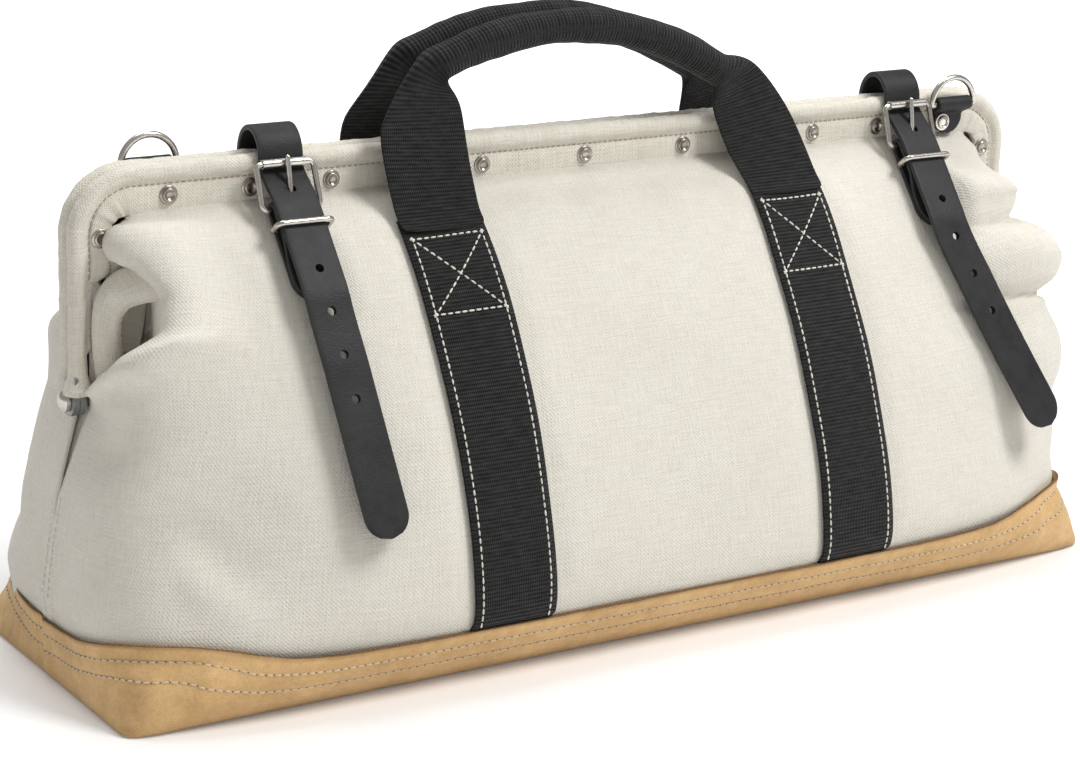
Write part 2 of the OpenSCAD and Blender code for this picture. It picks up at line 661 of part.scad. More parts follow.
// Rear end of a strap, riveted to the back flange
anchor_drop = 7.5;
module strap_anchor(x) {
    low = rivet_h - anchor_drop;
    color(black_colour) difference() {
        translate([x, strap_front, 0]) rotate([90, 0, 0]) linear_extrude(strap_t, center = true) {
            translate([-strap_w / 2, low + strap_w / 3]) square([strap_w, anchor_top - low - strap_w / 3]);
            intersection() {
                translate([-strap_w / 2, low]) square([strap_w, strap_w / 2]);
                translate([0, low + strap_w / 2]) circle(d = strap_w * 1.12);
            }
        }
        for (p = anchor_spots()) translate([p[0], 0, p[1]]) rotate([-90, 0, 0])
            cylinder(d = shank_d + 2 * run_gap, h = 2 * strap_front);
    }
}

module anchor_rivets(s) {
    face = strap_front + strap_t / 2;
    cap = 1;
    color(nickel_colour) for (p = anchor_spots()) if (p[0] * s > 0)
    translate([p[0], 0, p[1]]) rotate([-90, 0, 0]) {
        translate([0, 0, flange_back]) cylinder(d = shank_d, h = face - flange_back);
        translate([0, 0, flange_back - clinch_h]) cylinder(d = clinch_d, h = clinch_h);
        translate([0, 0, face]) cylinder(d = cap_d * 0.7, h = cap);
    }
}

// D-ring and its leather tab, drawn for the right end of the front; the tab folds round the ring's bar
tab_t = 2.4;
tab_fold = ring_wire / 2 + lay_gap;
ring_y = rail_y + bead_d / 2 + 2 * soft_gap + tab_t + tab_fold;
ring_drop = 1;
ring_h = rail_c - ring_drop;
tab_face = flange_face + 2 * lay_gap + 2 * tab_t;
tab_tip_r = 10;
tab_drop = 7;
tab_ease = 1;
module d_ring(x) {
    r = ring_w / 2 - ring_wire / 2;
    color(nickel_colour) translate([x, -ring_y, ring_h]) {
        rotate([0, 90, 0]) cylinder(d = ring_wire, h = 2 * r, center = true);
        rotate([90, 0, 0]) rotate_extrude(angle = 180) translate([r, 0]) circle(d = ring_wire);
        for (s = [-1, 1]) translate([s * r, 0, 0]) sphere(d = ring_wire);
    }
}

function fold_path(c, r, back, front, low) = let (
    vb = back - c, vf = front - c, a0 = atan2(vb[1], vb[0]) + acos(r / norm(vb)),
    a1 = 360 + atan2(vf[1], vf[0]) - acos(r / norm(vf)))
    concat([[back[0], low], back],
        [for (i = [0:8]) let (a = a0 + (a1 - a0) * i / 8) c + r * [cos(a), sin(a)]],
        [front, [front[0], low]]);
module ring_tab(x, rivet_x) {
    meet_h = rivet_h + cap_d * 0.6;
    low = rivet_h - tab_drop;
    side = tab_w / 2 + cut_over;
    top = ring_h + tab_fold + tab_t + cut_over;
    color(black_colour) difference() {
        intersection() {
            translate([x, 0, 0]) across(tab_w) polygon(ribbon(fold_path(
                [-ring_y, ring_h], tab_fold + tab_t / 2,
                [-flange_face - lay_gap - tab_t / 2, meet_h + tab_ease], [-tab_face + tab_t / 2, meet_h],
                low - cut_over), tab_t));
            translate([x, 0, 0]) rotate([90, 0, 0]) linear_extrude(ring_y + tab_fold + tab_t + cut_over)
                polygon(concat([[-tab_tip_r, meet_h - 2 * tab_ease], [-side, meet_h],
                        [-side, top], [side, top],
                    [side, meet_h], [tab_tip_r, meet_h - 2 * tab_ease]],
                    [for (a = [0:-15:-180]) [tab_tip_r * cos(a), low + tab_tip_r * (1 + sin(a))]]));
        }
        translate([rivet_x, -tab_face - cut_over, rivet_h]) rotate([-90, 0, 0])
            cylinder(d = shank_d + 2 * run_gap, h = tab_face);
    }
}

module ring_rivet(x) {
    color(nickel_colour) translate([x, -tab_face, rivet_h]) rivet(tab_face - flange_back);
}

// Handle: two flat legs that lean in and fold into a rolled grip
grip_rise = grip_h - grip_end_h;
arc_r = (pow(grip_half, 2) + pow(grip_rise, 2)) / (2 * grip_rise);
arc_half = asin(grip_half / arc_r);
grip_gap = 3;
grip_y = grip_d / 2 + grip_gap;
core_trim = 3;
core_play = 0.3;
hinge_h = stitch_top_h + split_gap;
function hinge_y() = wall_y(web_spread / 2, stitch_top_h) + soft_gap + web_t / 2;
leg_lean = atan2(hinge_y() - grip_y, grip_end_h - hinge_h);
module grip_arc(d, trim) {
    translate([0, -grip_y, grip_h - arc_r]) rotate([90, 0, 0]) rotate([0, 0, 90 - arc_half + trim])
        rotate_extrude(angle = 2 * (arc_half - trim)) translate([arc_r, 0]) circle(d = d);
}
module handle_webbing() {
    l = (grip_end_h - hinge_h) / cos(leg_lean);
    foot = web_spread / 2;
    color(black_colour) difference() {
        union() {
            for (s = [-1, 1]) translate([0, -hinge_y(), hinge_h]) rotate([-leg_lean, 0, 0]) rotate([90, 0, 0])
                linear_extrude(web_t, center = true) mirror([s < 0 ? 1 : 0, 0])
                    polygon([[foot - web_w / 2, 0], [foot + web_w / 2, 0], [foot + web_w * 0.42, l * 0.5],
                        [grip_half + grip_d * 0.45, l + grip_d * 0.3],
                        [grip_half - grip_d * 0.1, l + grip_d * 0.42],
                        [grip_half - grip_d * 0.45, l - grip_d * 0.45], [foot - web_w * 0.52, l * 0.5]]);
            grip_arc(grip_d, 0);
        }
        grip_arc(core_d + 2 * run_gap, core_trim - core_play);
    }
}
module handle_core() {
    color("gray") grip_arc(core_d, core_trim);
}

module back() { mirror([0, 1, 0]) children(); }
module left() { mirror([1, 0, 0]) children(); }

module front_canvas_lower() { color(canvas_colour) canvas_lower(); }
module back_canvas_lower() { color(canvas_colour) back() canvas_lower(); }
module front_canvas_upper() { color(canvas_colour) canvas_upper(); }
module back_canvas_upper() { color(canvas_colour) back() canvas_upper(); }
module front_webbing_lower() { color(black_colour) webbing_lower(); }
module back_webbing_lower() { color(black_colour) back() webbing_lower(); }
module front_webbing_upper() { color(black_colour) webbing_upper(); }
module back_webbing_upper() { color(black_colour) back() webbing_upper(); }
module front_frame_rod() { color(steel_colour) frame_rod(1); }
module back_frame_rod() { color(steel_colour) back() frame_rod(-1); }
module front_rim_binding() {
    color(canvas_colour) rim_binding(concat(rivet_spots(front_covered), [[right_rivet_x, rivet_h]]));
}
module back_rim_binding() {
    color(canvas_colour) back() rim_binding(concat(rivet_spots(back_covered), [[-left_ring_x, rivet_h]],
        anchor_spots()));
}
module front_rim_rivets() { color(nickel_colour) rivets_at(rivet_spots(front_covered)); }
module back_rim_rivets() { color(nickel_colour) back() rivets_at(rivet_spots(back_covered)); }

suede_base();
bottom_board();
front_canvas_lower();
back_canvas_lower();
front_webbing_lower();
back_webbing_lower();
hinge_bolt(-1);  // left_hinge_bolt
hinge_bolt(1);  // right_hinge_bolt
hinge_nut(-1);  // left_hinge_nut
hinge_nut(1);  // right_hinge_nut
front_frame_rod();
front_rim_binding();
front_rim_rivets();
front_canvas_upper();
front_webbing_upper();
chape(strap_x(-1));  // left_chape
chape(strap_x(1));  // right_chape
chape_rivet(strap_x(-1));  // left_chape_rivet
chape_rivet(strap_x(1));  // right_chape_rivet
ring_tab(right_ring_x, right_rivet_x);  // right_ring_tab
ring_rivet(right_rivet_x);  // right_ring_rivet
back_frame_rod();
back_rim_binding();
back_rim_rivets();
back_canvas_upper();
back_webbing_upper();
strap_anchor(strap_x(-1));  // left_strap_anchor
strap_anchor(strap_x(1));  // right_strap_anchor
anchor_rivets(-1);  // left_anchor_rivets
anchor_rivets(1);  // right_anchor_rivets
back() left() ring_tab(left_ring_x, left_ring_x);  // left_ring_tab
back() left() ring_rivet(left_ring_x);  // left_ring_rivet
strap(strap_x(-1));  // left_strap
strap(strap_x(1));  // right_strap
buckle_frame(strap_x(-1));  // left_buckle_frame
buckle_frame(strap_x(1));  // right_buckle_frame
roller(strap_x(-1));  // left_roller
roller(strap_x(1));  // right_roller
tongue(strap_x(-1));  // left_tongue
tongue(strap_x(1));  // right_tongue
keeper(strap_x(-1));  // left_keeper
keeper(strap_x(1));  // right_keeper
back() left() d_ring(left_ring_x);  // left_d_ring
d_ring(right_ring_x);  // right_d_ring
handle_webbing();  // front_handle_webbing
handle_core();  // front_handle_core
back() handle_webbing();  // back_handle_webbing
back() handle_core();  // back_handle_core
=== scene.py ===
# %% [markdown]
# # Dressing a steel-framed canvas tool bag
#
# The CAD model gives every part its place: frames, pivots, buckles, straps and the plain shape of the cloth.
# This notebook hangs the visible goods on it. The metal parts keep their CAD shape and get a finish. The canvas,
# suede, webbing and leather are built again here, because cloth shows folds, seams and soft edges that a plain
# solid lacks. Sizes are written in millimetres, as a pattern cutter would, and turned into metres at the end.

# %% Load the frame
import math

import bmesh
import bpy
import numpy as np
from mathutils import Matrix, Vector


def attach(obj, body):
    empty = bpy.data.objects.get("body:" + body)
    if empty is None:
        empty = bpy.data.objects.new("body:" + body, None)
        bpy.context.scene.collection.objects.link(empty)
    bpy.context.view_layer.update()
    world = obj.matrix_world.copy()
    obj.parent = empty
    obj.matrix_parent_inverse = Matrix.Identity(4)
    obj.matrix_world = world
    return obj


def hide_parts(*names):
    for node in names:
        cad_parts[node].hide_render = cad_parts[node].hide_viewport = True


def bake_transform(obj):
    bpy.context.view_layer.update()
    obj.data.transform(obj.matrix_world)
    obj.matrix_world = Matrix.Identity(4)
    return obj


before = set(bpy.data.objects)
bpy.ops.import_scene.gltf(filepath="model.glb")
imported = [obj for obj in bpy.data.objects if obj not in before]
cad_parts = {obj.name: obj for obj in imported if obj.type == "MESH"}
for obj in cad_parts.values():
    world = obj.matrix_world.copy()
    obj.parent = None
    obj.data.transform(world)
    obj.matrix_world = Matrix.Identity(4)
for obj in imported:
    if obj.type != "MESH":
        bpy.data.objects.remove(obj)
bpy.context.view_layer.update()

# %% [markdown]
# ## Camera
#
# A picture taken from the front left, a little above the bag. The place and the focal length come from matching
# the rivet row, the corners of the base and the feet of the webbing with the photograph. A camera looks along
# its own -Z, so its three axes are written as the columns of a matrix.

# %% Camera
PICTURE_W, FOCAL_PX, SENSOR = 1080, 2862, 36  # pixels, pixels, mm


def linked(name, data):
    """New object in the scene with this data."""
    made = bpy.data.objects.new(name, data)
    bpy.context.scene.collection.objects.link(made)
    return made


camera_data = bpy.data.cameras.new("camera")
camera = linked("camera", camera_data)
bpy.context.scene.camera = camera
camera_data.sensor_width = SENSOR
camera_data.lens = FOCAL_PX / PICTURE_W * SENSOR
yaw, pitch, roll = (math.radians(a) for a in (33.18, 16.16, 2.02))
look = np.array([math.sin(yaw) * math.cos(pitch), math.cos(yaw) * math.cos(pitch), -math.sin(pitch)])
right = np.array([math.cos(yaw), -math.sin(yaw), 0])
up = np.cross(right, look)
right, up = (math.cos(roll) * right + math.sin(roll) * up, math.cos(roll) * up - math.sin(roll) * right)
for row in range(3):
    for column, axis in enumerate((right, up, -look)):
        camera.matrix_world[row][column] = axis[row]
camera.matrix_world.translation = (-0.8618, -1.2891, 0.5683)
print("lens", round(camera_data.lens, 1), "mm")

# %% [markdown]
# ## Shapes from rows of points
#
# Cloth and straps are made the same way: rows of points, joined to a grid of four-sided faces. The grid carries
# its own UV map, in metres along the cloth, so that a weave or a rib later has its real size everywhere. A grid
# can close on itself, as a tube does, and its last column then meets the first.

# %% Pieces and joined points
MM = 0.001


def finished(name, mesh, *materials):
    """Put a mesh into the scene as a piece with these finishes."""
    piece = linked(name, mesh)
    for material in materials:
        mesh.materials.append(material)
    for face in mesh.polygons:
        face.use_smooth = True
    return piece


def weld(mesh, reach):
    """Join points within reach metres and turn the faces outward."""
    work = bmesh.new()
    work.from_mesh(mesh)
    bmesh.ops.remove_doubles(work, verts=work.verts, dist=reach)
    bmesh.ops.recalc_face_normals(work, faces=work.faces)
    work.to_mesh(mesh)
    work.free()


print("1 mm is", MM, "m in the scene")

# %% Grid of points to a mesh
def grid_piece(name, points, across, along, *materials, closed=False, caps=False, turn=False):
    """Piece from rows of points in mm; across and along give each point's place on the cloth in mm."""
    rows, columns = points.shape[:2]
    last = columns if closed else columns - 1
    faces, places = [], []
    for r in range(rows - 1):
        for c in range(last):
            d = (c + 1) % columns
            loop = [(r, c, c), (r, d, c + 1), (r + 1, d, c + 1), (r + 1, c, c)]
            loop = loop[::-1] if turn else loop
            faces.append([a * columns + b for a, b, k in loop])
            places.extend((across[a, k] * MM, along[a, k if k < columns else 0] * MM) for a, b, k in loop)
    if caps:
        for r in (0, rows - 1):
            ring = [r * columns + c for c in range(columns)]
            faces.append(ring if r else ring[::-1])
            places.extend((0.0, along[r, 0] * MM) for c in ring)
    mesh = bpy.data.meshes.new(name)
    mesh.from_pydata((points.reshape(-1, 3) * MM).tolist(), [], faces)
    mesh.uv_layers.new(name="cloth").data.foreach_set("uv", np.array(places, np.float32).ravel())
    if caps:
        weld(mesh, 1e-6)
    return finished(name, mesh, *materials)


# %% [markdown]
# Modifiers such as Solidify stay live until something asks for their result. `settled` asks once and keeps the
# result as a plain mesh, which exports as it looks.

# %% Modifiers kept as a mesh
def settled(piece):
    """Turn a piece with live modifiers into a plain mesh."""
    graph = bpy.context.evaluated_depsgraph_get()
    mesh = bpy.data.meshes.new_from_object(piece.evaluated_get(graph), preserve_all_data_layers=True, depsgraph=graph)
    piece.modifiers.clear()
    piece.data = mesh
    return piece


def thickened(piece, thickness, edge_material=0, even=True, inner_material=0):
    """Give a sheet its thickness in mm, inwards from the side that shows."""
    wall = piece.modifiers.new("thickness", "SOLIDIFY")
    wall.thickness = thickness * MM
    wall.offset = -1
    wall.use_even_offset = even
    wall.material_offset_rim = edge_material
    wall.material_offset = inner_material
    return settled(piece)


def steps(points):
    """Distance travelled along a line of points, in mm."""
    return np.concatenate([[0], np.cumsum(np.linalg.norm(np.diff(points, axis=0), axis=1))])


print("steps round a corner:", steps(np.array([[0, 0], [3, 0], [3, 4]])))


# %% [markdown]
# Cloth is never quite even. `waves` gives slow, smooth ups and downs at any point in space: a few sine waves in
# directions that a fixed seed picks, so the bag comes out the same each time the notebook runs.

# %% Soft unevenness
WAVES = 8


def waves(points, size, seed):
    """Smooth unevenness from about -1 to 1, with swells about size mm long."""
    dice = np.random.default_rng(seed)
    total = np.zeros(points.shape[:-1])
    for _ in range(WAVES):
        way = dice.normal(size=3)
        way *= 2 * math.pi / size * dice.uniform(0.6, 1.4) / np.linalg.norm(way)
        total += np.sin(points @ way + dice.uniform(0, 2 * math.pi))
    return total / 3.2


def ease(value, low, high):
    """0 below low, 1 above high and a soft slope between."""
    t = np.clip((np.asarray(value, float) - low) / (high - low), 0, 1)
    return t * t * (3 - 2 * t)


def hill(value, centre, width):
    """A bump of height 1 round a centre."""
    return np.exp(-(((np.asarray(value, float) - centre) / width) ** 2))


print("a soft slope:", ease([0, 0.25, 0.5, 0.75, 1], 0, 1).round(2))


# %% [markdown]
# ## Finishes
#
# Each finish is a small net of nodes. Patterns that belong to the cloth, such as weave and ribs, read the UV map
# in metres. Mottling and wear read Object coordinates. A `Net` adds nodes to one material and wires them up, which
# keeps the recipes below short enough to read.

# %% One node of a tree
def step_node(tree, kind, inputs=(), **settings):
    """One node of a tree; inputs are (socket, value or output) pairs."""
    made = tree.nodes.new(kind)
    for setting, value in settings.items():
        setattr(made, setting, value)
    for socket, value in inputs:
        if isinstance(value, bpy.types.NodeSocket):
            tree.links.new(value, made.inputs[socket])
        else:
            made.inputs[socket].default_value = value
    return made


# %% Net of nodes for a finish
class Net:
    """Nodes of a new material, or of the world; the methods return what comes out of the nodes they add."""

    def __init__(self, owner, **shader_values):
        self.owner = bpy.data.materials.new(owner) if isinstance(owner, str) else owner
        self.owner.use_nodes = True
        self.nodes, self.link = self.owner.node_tree.nodes, self.owner.node_tree.links.new
        self.shader = self.nodes.get("Principled BSDF")
        for socket, value in shader_values.items():
            self.shader.inputs[socket.replace("_", " ")].default_value = value

    def add(self, kind, inputs=(), **settings):
        return step_node(self.owner.node_tree, "ShaderNode" + kind, inputs, **settings)

    def calc(self, operation, a, b=0.0, c=0.0):
        return self.add("Math", [(0, a), (1, b), (2, c)], operation=operation).outputs[0]

    def weigh(self, *pairs):
        """Sum of values, each times its weight."""
        total = 0.0
        for value, weight in reversed(pairs):
            total = self.calc("MULTIPLY_ADD", value, weight, total)
        return total

    def wave(self, place, length):
        """Sine along a UV direction, length in mm."""
        return self.calc("SINE", self.calc("MULTIPLY", place, 2000 * math.pi / length))

    def mix(self, share, a, b):
        return self.add("Mix", [(0, share), (6, a), (7, b)], data_type="RGBA").outputs[2]

    def ramp(self, value, low, high):
        """0 below low, 1 above high."""
        return self.add("MapRange", [(0, value), (1, low), (2, high)]).outputs[0]

    def noise(self, place, scale, detail=2.0, rough=0.5, stretch=None):
        """Soft noise; stretch is a scale along each axis."""
        if stretch:
            place = self.add("Mapping", [("Vector", place), ("Scale", stretch)]).outputs[0]
        values = [("Vector", place), ("Scale", scale), ("Detail", detail), ("Roughness", rough)]
        return self.add("TexNoise", values).outputs[0]

    def body(self):
        """Object coordinates, in metres."""
        return self.add("TexCoord").outputs["Object"]

    def cloth(self):
        """The UV map in metres, and its two directions by themselves."""
        place = self.add("UVMap", uv_map="cloth").outputs[0]
        split = self.add("SeparateXYZ", [(0, place)])
        return place, split.outputs[0], split.outputs[1]

    def finish(self, colour, height, depth, strength=1.0, rough=None):
        """Wire colour, roughness and bump to the shader; returns the material."""
        self.link(colour, self.shader.inputs["Base Color"])
        if rough is not None:
            self.link(rough, self.shader.inputs["Roughness"])
        bump = self.add("Bump", [("Height", height), ("Distance", depth), ("Strength", strength)])
        self.link(bump.outputs[0], self.shader.inputs["Normal"])
        return self.owner


# %% [markdown]
# ### Duck canvas
#
# Heavy natural cotton: a plain weave of thick threads, uneven enough that single threads stand out as slubs, with
# a few darker flecks of seed husk. Two sine waves multiplied give the over-and-under of the weave. Noise drawn
# out along each thread direction gives the slubs.

# %% Canvas finish
THREAD = 1.05  # mm


def canvas_finish(name, light, shade, thread=THREAD):
    net = Net(name, Roughness=0.9, Sheen_Weight=0.25, Sheen_Roughness=0.6)
    place, u, v = net.cloth()
    weave = net.calc("MULTIPLY_ADD", net.wave(u, 2 * thread), net.wave(v, 2 * thread), 1.0)
    weft = net.noise(place, 1.0, 3.0, 0.6, (55.0, 900.0, 1.0))
    warp = net.noise(place, 1.0, 3.0, 0.6, (900.0, 70.0, 1.0))
    slubs = net.calc("ADD", weft, warp)
    mottle = net.noise(net.body(), 16.0, 4.0, 0.55)
    fleck = net.ramp(net.noise(place, 1.0, 1.0, 0.5, (420.0, 650.0, 1.0)), 0.74, 0.8)
    tone = net.weigh((slubs, 0.75), (mottle, 0.4), (weave, 0.12))
    colour = net.mix(net.ramp(tone, 0.62, 1.3), shade, light)
    colour = net.mix(net.weigh((fleck, 0.45)), colour, (0.36, 0.27, 0.17, 1))
    return net.finish(colour, net.weigh((slubs, 1.5), (weave, 0.42)), 0.00035, 0.85)


canvas = canvas_finish("duck_canvas", (0.82, 0.785, 0.695, 1), (0.66, 0.615, 0.525, 1))
canvas_edge = canvas_finish("duck_canvas_edge", (0.83, 0.79, 0.69, 1), (0.60, 0.55, 0.45, 1), 1.0)
# the inner faces get a darker copy of the canvas: painted shade that darkens the hollows where the inside shows
canvas_inside_painted_shade = canvas_finish("duck_canvas_inside", (0.42, 0.36, 0.28, 1), (0.28, 0.23, 0.17, 1))
print("canvas thread", THREAD, "mm")

# %% [markdown]
# ### Suede
#
# The flesh side of a tanned hide: short fibres that lie this way and that, so it looks cloudy and never shiny. The
# cut edge of the hide is darker than its face. The UV map's second direction counts down from the upper edge, so
# the dark rim and the needle lines can be placed from it.

# %% Suede finish
net = Net("tan_suede", Roughness=0.96, Sheen_Weight=0.45, Sheen_Roughness=0.45, Specular_IOR_Level=0.2,
          Sheen_Tint=(1.0, 0.86, 0.66, 1))
body = net.body()
below_edge = net.cloth()[2]
nap, brushed = net.noise(body, 900.0, 3.0, 0.7), net.noise(body, 150.0, 4.0, 0.7)
tone = net.weigh((nap, 0.35), (net.noise(body, 28.0, 5.0, 0.62), 0.55), (brushed, 0.4))
colour = net.mix(net.ramp(tone, 0.42, 0.86), (0.52, 0.31, 0.13, 1), (0.86, 0.575, 0.28, 1))
rim = net.calc("SUBTRACT", 1.0, net.ramp(below_edge, 0.0002, 0.0022))
colour = net.mix(net.weigh((rim, 0.55)), colour, (0.24, 0.13, 0.05, 1))
above_floor = net.add("SeparateXYZ", [(0, body)]).outputs[2]
# darker over the lowest 8 mm, towards the floor
floor_darkening = net.calc("SUBTRACT", 1.0, net.ramp(above_floor, 0.0, 0.008))
colour = net.mix(net.weigh((floor_darkening, 0.35)), colour, (0.36, 0.22, 0.10, 1))
suede = net.finish(colour, net.weigh((nap, 0.7), (brushed, 0.8)), 0.0007, 0.8)

net = Net("suede_cut_edge", Roughness=0.97)
fibre = net.noise(net.body(), 700.0, 3.0, 0.7)
colour = net.mix(net.ramp(fibre, 0.35, 0.7), (0.13, 0.07, 0.03, 1), (0.30, 0.17, 0.07, 1))
suede_edge = net.finish(colour, fibre, 0.0005)
print("suede with a darker cut edge")

# %% [markdown]
# ### Webbing
#
# Black belting with fine ribs across it. A rib is a sine wave along the strip, broken up a little by noise, and
# the yarns inside each rib run the other way. The two edges are woven denser and lie flatter.

# %% Webbing finish
RIB, YARN = 2.1, 1.1  # mm
net = Net("black_webbing", Roughness=0.75, Sheen_Weight=0.1, Sheen_Roughness=0.4, Specular_IOR_Level=0.22)
place, u, v = net.cloth()
rib, yarn = net.wave(v, RIB), net.wave(u, YARN)
drift = net.noise(place, 1.0, 2.0, 0.5, (110.0, 420.0, 1.0))
tone = net.weigh((rib, 0.22), (yarn, 0.1), (drift, 1.0))
colour = net.mix(net.ramp(tone, 0.2, 0.95), (0.0025, 0.0025, 0.003, 1), (0.036, 0.035, 0.034, 1))
webbing = net.finish(colour, net.weigh((rib, 0.5), (yarn, 0.22), (drift, 0.8)), 0.0006, 0.9)
print("webbing rib", RIB, "mm")

# %% [markdown]
# ### Leather
#
# Straps of smooth dark leather. Light runs in long soft glints over it, broken by fine creases and pores. A line
# is pressed in along both edges, 2 mm in, which catches the light. Strips carry their width in the UV map's first
# direction, so the line is placed from it.

# %% Leather finish
net = Net("dark_leather", Roughness=0.5, Specular_IOR_Level=0.3)
body = net.body()
pores = net.add("TexVoronoi", [("Vector", body), ("Scale", 1100.0)]).outputs["Distance"]
creases = net.noise(body, 130.0, 5.0, 0.65)
from_middle = net.calc("ABSOLUTE", net.cloth()[1])
line = net.calc("COMPARE", from_middle, 0.0105, 0.00035)
edge = net.ramp(from_middle, 0.0112, 0.0125)
tone = net.weigh((creases, 0.6), (net.noise(body, 40.0, 3.0, 0.5), 0.5))
colour = net.mix(net.ramp(tone, 0.35, 0.8), (0.009, 0.009, 0.010, 1), (0.030, 0.030, 0.031, 1))
colour = net.mix(net.weigh((edge, 0.5)), colour, (0.05, 0.05, 0.051, 1))
height = net.weigh((creases, 1.0), (pores, 0.35), (line, -0.7))
leather = net.finish(colour, height, 0.0005, 0.6, net.calc("MULTIPLY_ADD", creases, 0.3, 0.38))
print("leather with a pressed edge line")

# %% [markdown]
# ### Metal, thread and the hidden parts
#
# Nickel plate is bright and a little clouded by handling. The frame's flat ends are plain drawn steel. The thread
# is thick waxed cotton in a cream that is a touch warmer than the canvas. The board and the cord cores are hidden,
# but they show when the bag is opened or exploded, so they get plain finishes of their own.

# %% Metal, thread, board and core finishes
def metal_finish(name, light, dark, smooth, dull):
    net = Net(name, Metallic=1.0)
    body = net.body()
    cloud = net.noise(body, 90.0, 4.0, 0.6)
    scratches = net.noise(body, 300.0, 3.0, 0.6, (1.0, 1.0, 0.25))
    colour = net.mix(net.ramp(cloud, 0.35, 0.7), light, dark)
    return net.finish(colour, scratches, 0.00008, 0.35, net.calc("MULTIPLY_ADD", cloud, dull - smooth, smooth))


def plain_finish(name, light, dark, scale, rough, depth):
    net = Net(name, Roughness=rough)
    grain = net.noise(net.body(), scale, 4.0, 0.65)
    return net.finish(net.mix(net.ramp(grain, 0.3, 0.72), dark, light), grain, depth)


nickel = metal_finish("nickel_plate", (0.66, 0.63, 0.58, 1), (0.42, 0.39, 0.35, 1), 0.14, 0.36)
rivet_nickel = metal_finish("rivet_nickel", (0.50, 0.46, 0.41, 1), (0.26, 0.23, 0.20, 1), 0.2, 0.42)
steel = metal_finish("drawn_steel", (0.34, 0.34, 0.35, 1), (0.20, 0.20, 0.21, 1), 0.35, 0.6)
thread = plain_finish("cream_thread", (0.90, 0.87, 0.79, 1), (0.70, 0.66, 0.57, 1), 1500.0, 0.85, 0.0003)
brown_thread = plain_finish("crease_thread", (0.52, 0.42, 0.30, 1), (0.32, 0.25, 0.17, 1), 1500.0, 0.9, 0.0003)
# dark dots between stitches: painted shade standing in for the shadow in the needle holes
needle_hole = plain_finish("needle_hole", (0.17, 0.09, 0.04, 1), (0.09, 0.05, 0.02, 1), 900.0, 1.0, 0.0001)
buff_thread = plain_finish("buff_thread", (0.80, 0.72, 0.57, 1), (0.60, 0.50, 0.36, 1), 1500.0, 0.85, 0.0003)
board = plain_finish("fibreboard", (0.36, 0.25, 0.14, 1), (0.24, 0.16, 0.09, 1), 260.0, 0.9, 0.0004)
core = plain_finish("cord_core", (0.12, 0.12, 0.12, 1), (0.05, 0.05, 0.05, 1), 500.0, 0.8, 0.0004)
print("materials:", len(bpy.data.materials))

# %% [markdown]
# ## The outline of the body
#
# Seen from above, the bag is a rounded rectangle. It is fullest 45 mm up and closes in a long bulge towards the
# mouth. These functions follow the CAD solids, with softer corners low down, where cloth rounds itself off.
# Everything that is laid on the cloth later, such as webbing and stitches, can ask them where the cloth is.

# %% Outline of the body
BELLY_H, CROWN_H, OPEN_Y = 45.0, 247.0, 5.85  # fullest height, rail height, half the mouth
FLOOR_Y, BELLY_Y = 92, 119  # half the depth on the floor and at the belly


def depth_at(z):
    low = FLOOR_Y + (BELLY_Y - FLOOR_Y) * np.sin(np.pi / 2 * np.clip(z, 0, BELLY_H) / BELLY_H)
    rise = np.clip((z - BELLY_H) / (CROWN_H - BELLY_H), 0, 1)
    high = np.maximum(OPEN_Y, BELLY_Y * (1 - rise ** 1.5) ** (1 / 1.5))
    return np.where(z < BELLY_H, low, high)


def length_at(z):
    return np.interp(z, [0, 45, 85, 105, 144, 175, 204, 233.2, 240.7],
                     [313, 316.5, 310, 306, 292.5, 291.8, 282.2, 282.2, 274.2])


def power_at(z):
    return np.interp(z, [0, 45, 100, 148, 247], [4.3, 4.2, 3.8, 3.6, 3])


def gap_at(z):
    """Half the gap between the front and back panels at the ends, which the frame's legs fill."""
    return np.interp(z, [100.64, 144], [0, OPEN_Y])


def wall_y(x, z):
    """Depth of the wall above a place along the bag."""
    n, gap = power_at(z), gap_at(z)
    return gap + (depth_at(z) - gap) * np.maximum(0, 1 - (np.abs(x) / length_at(z)) ** n) ** (1 / n)


def plan_point(dx, dy, z, out=0.0):
    """Point of the front outline in a plan direction, out mm outside the wall."""
    n, gap = power_at(z), gap_at(z)
    size = (np.abs(dx) ** n + np.abs(dy) ** n) ** (1 / n)
    return np.stack([(length_at(z) + out) * dx / size, -(gap + (depth_at(z) + out - gap) * dy / size),
                     z + 0 * dx], -1)


print("depth at the belly", float(2 * depth_at(np.array(45.0))), "mm, at the mouth", 2 * OPEN_Y)

# %% [markdown]
# ## Folds
#
# What makes a bag look like cloth is where it isn't smooth. The panels have slow dents, small puckers hang from the
# rivets, and at both ends the spare cloth of the gusset folds inwards when the mouth is shut. At the left end a
# hollow opens between the free hem on the frame's leg and a thick fold. Each fold is a hill or a hollow drawn on
# the wall: `inside` tells how deep a point lies inside an outline, in mm, and the hollow follows from it.

# %% Distances on the cloth
def distance_to(a, b, line):
    """Distance of each point from a line of (a, b) pairs."""
    best = np.full(a.shape, 1e9)
    for (a0, b0), (a1, b1) in zip(line, line[1:]):
        da, db = a1 - a0, b1 - b0
        k = np.clip(((a - a0) * da + (b - b0) * db) / (da * da + db * db), 0, 1)
        best = np.minimum(best, np.hypot(a - a0 - k * da, b - b0 - k * db))
    return best


def inside(a, b, outline):
    """How far each point lies inside an outline of (a, b) pairs; negative outside."""
    outline = outline + outline[:1]
    best, odd = distance_to(a, b, outline), np.zeros(a.shape, bool)
    for (a0, b0), (a1, b1) in zip(outline, outline[1:]):
        odd ^= ((b0 > b) != (b1 > b)) & (a < a0 + (a1 - a0) * (b - b0) / (b1 - b0 if b1 != b0 else 1e-9))
    return np.where(odd, best, -best)


def near_line(a, b, line, width):
    """1 on a line of (a, b) pairs and soft to 0 beside it."""
    return hill(distance_to(a, b, line), 0, width)


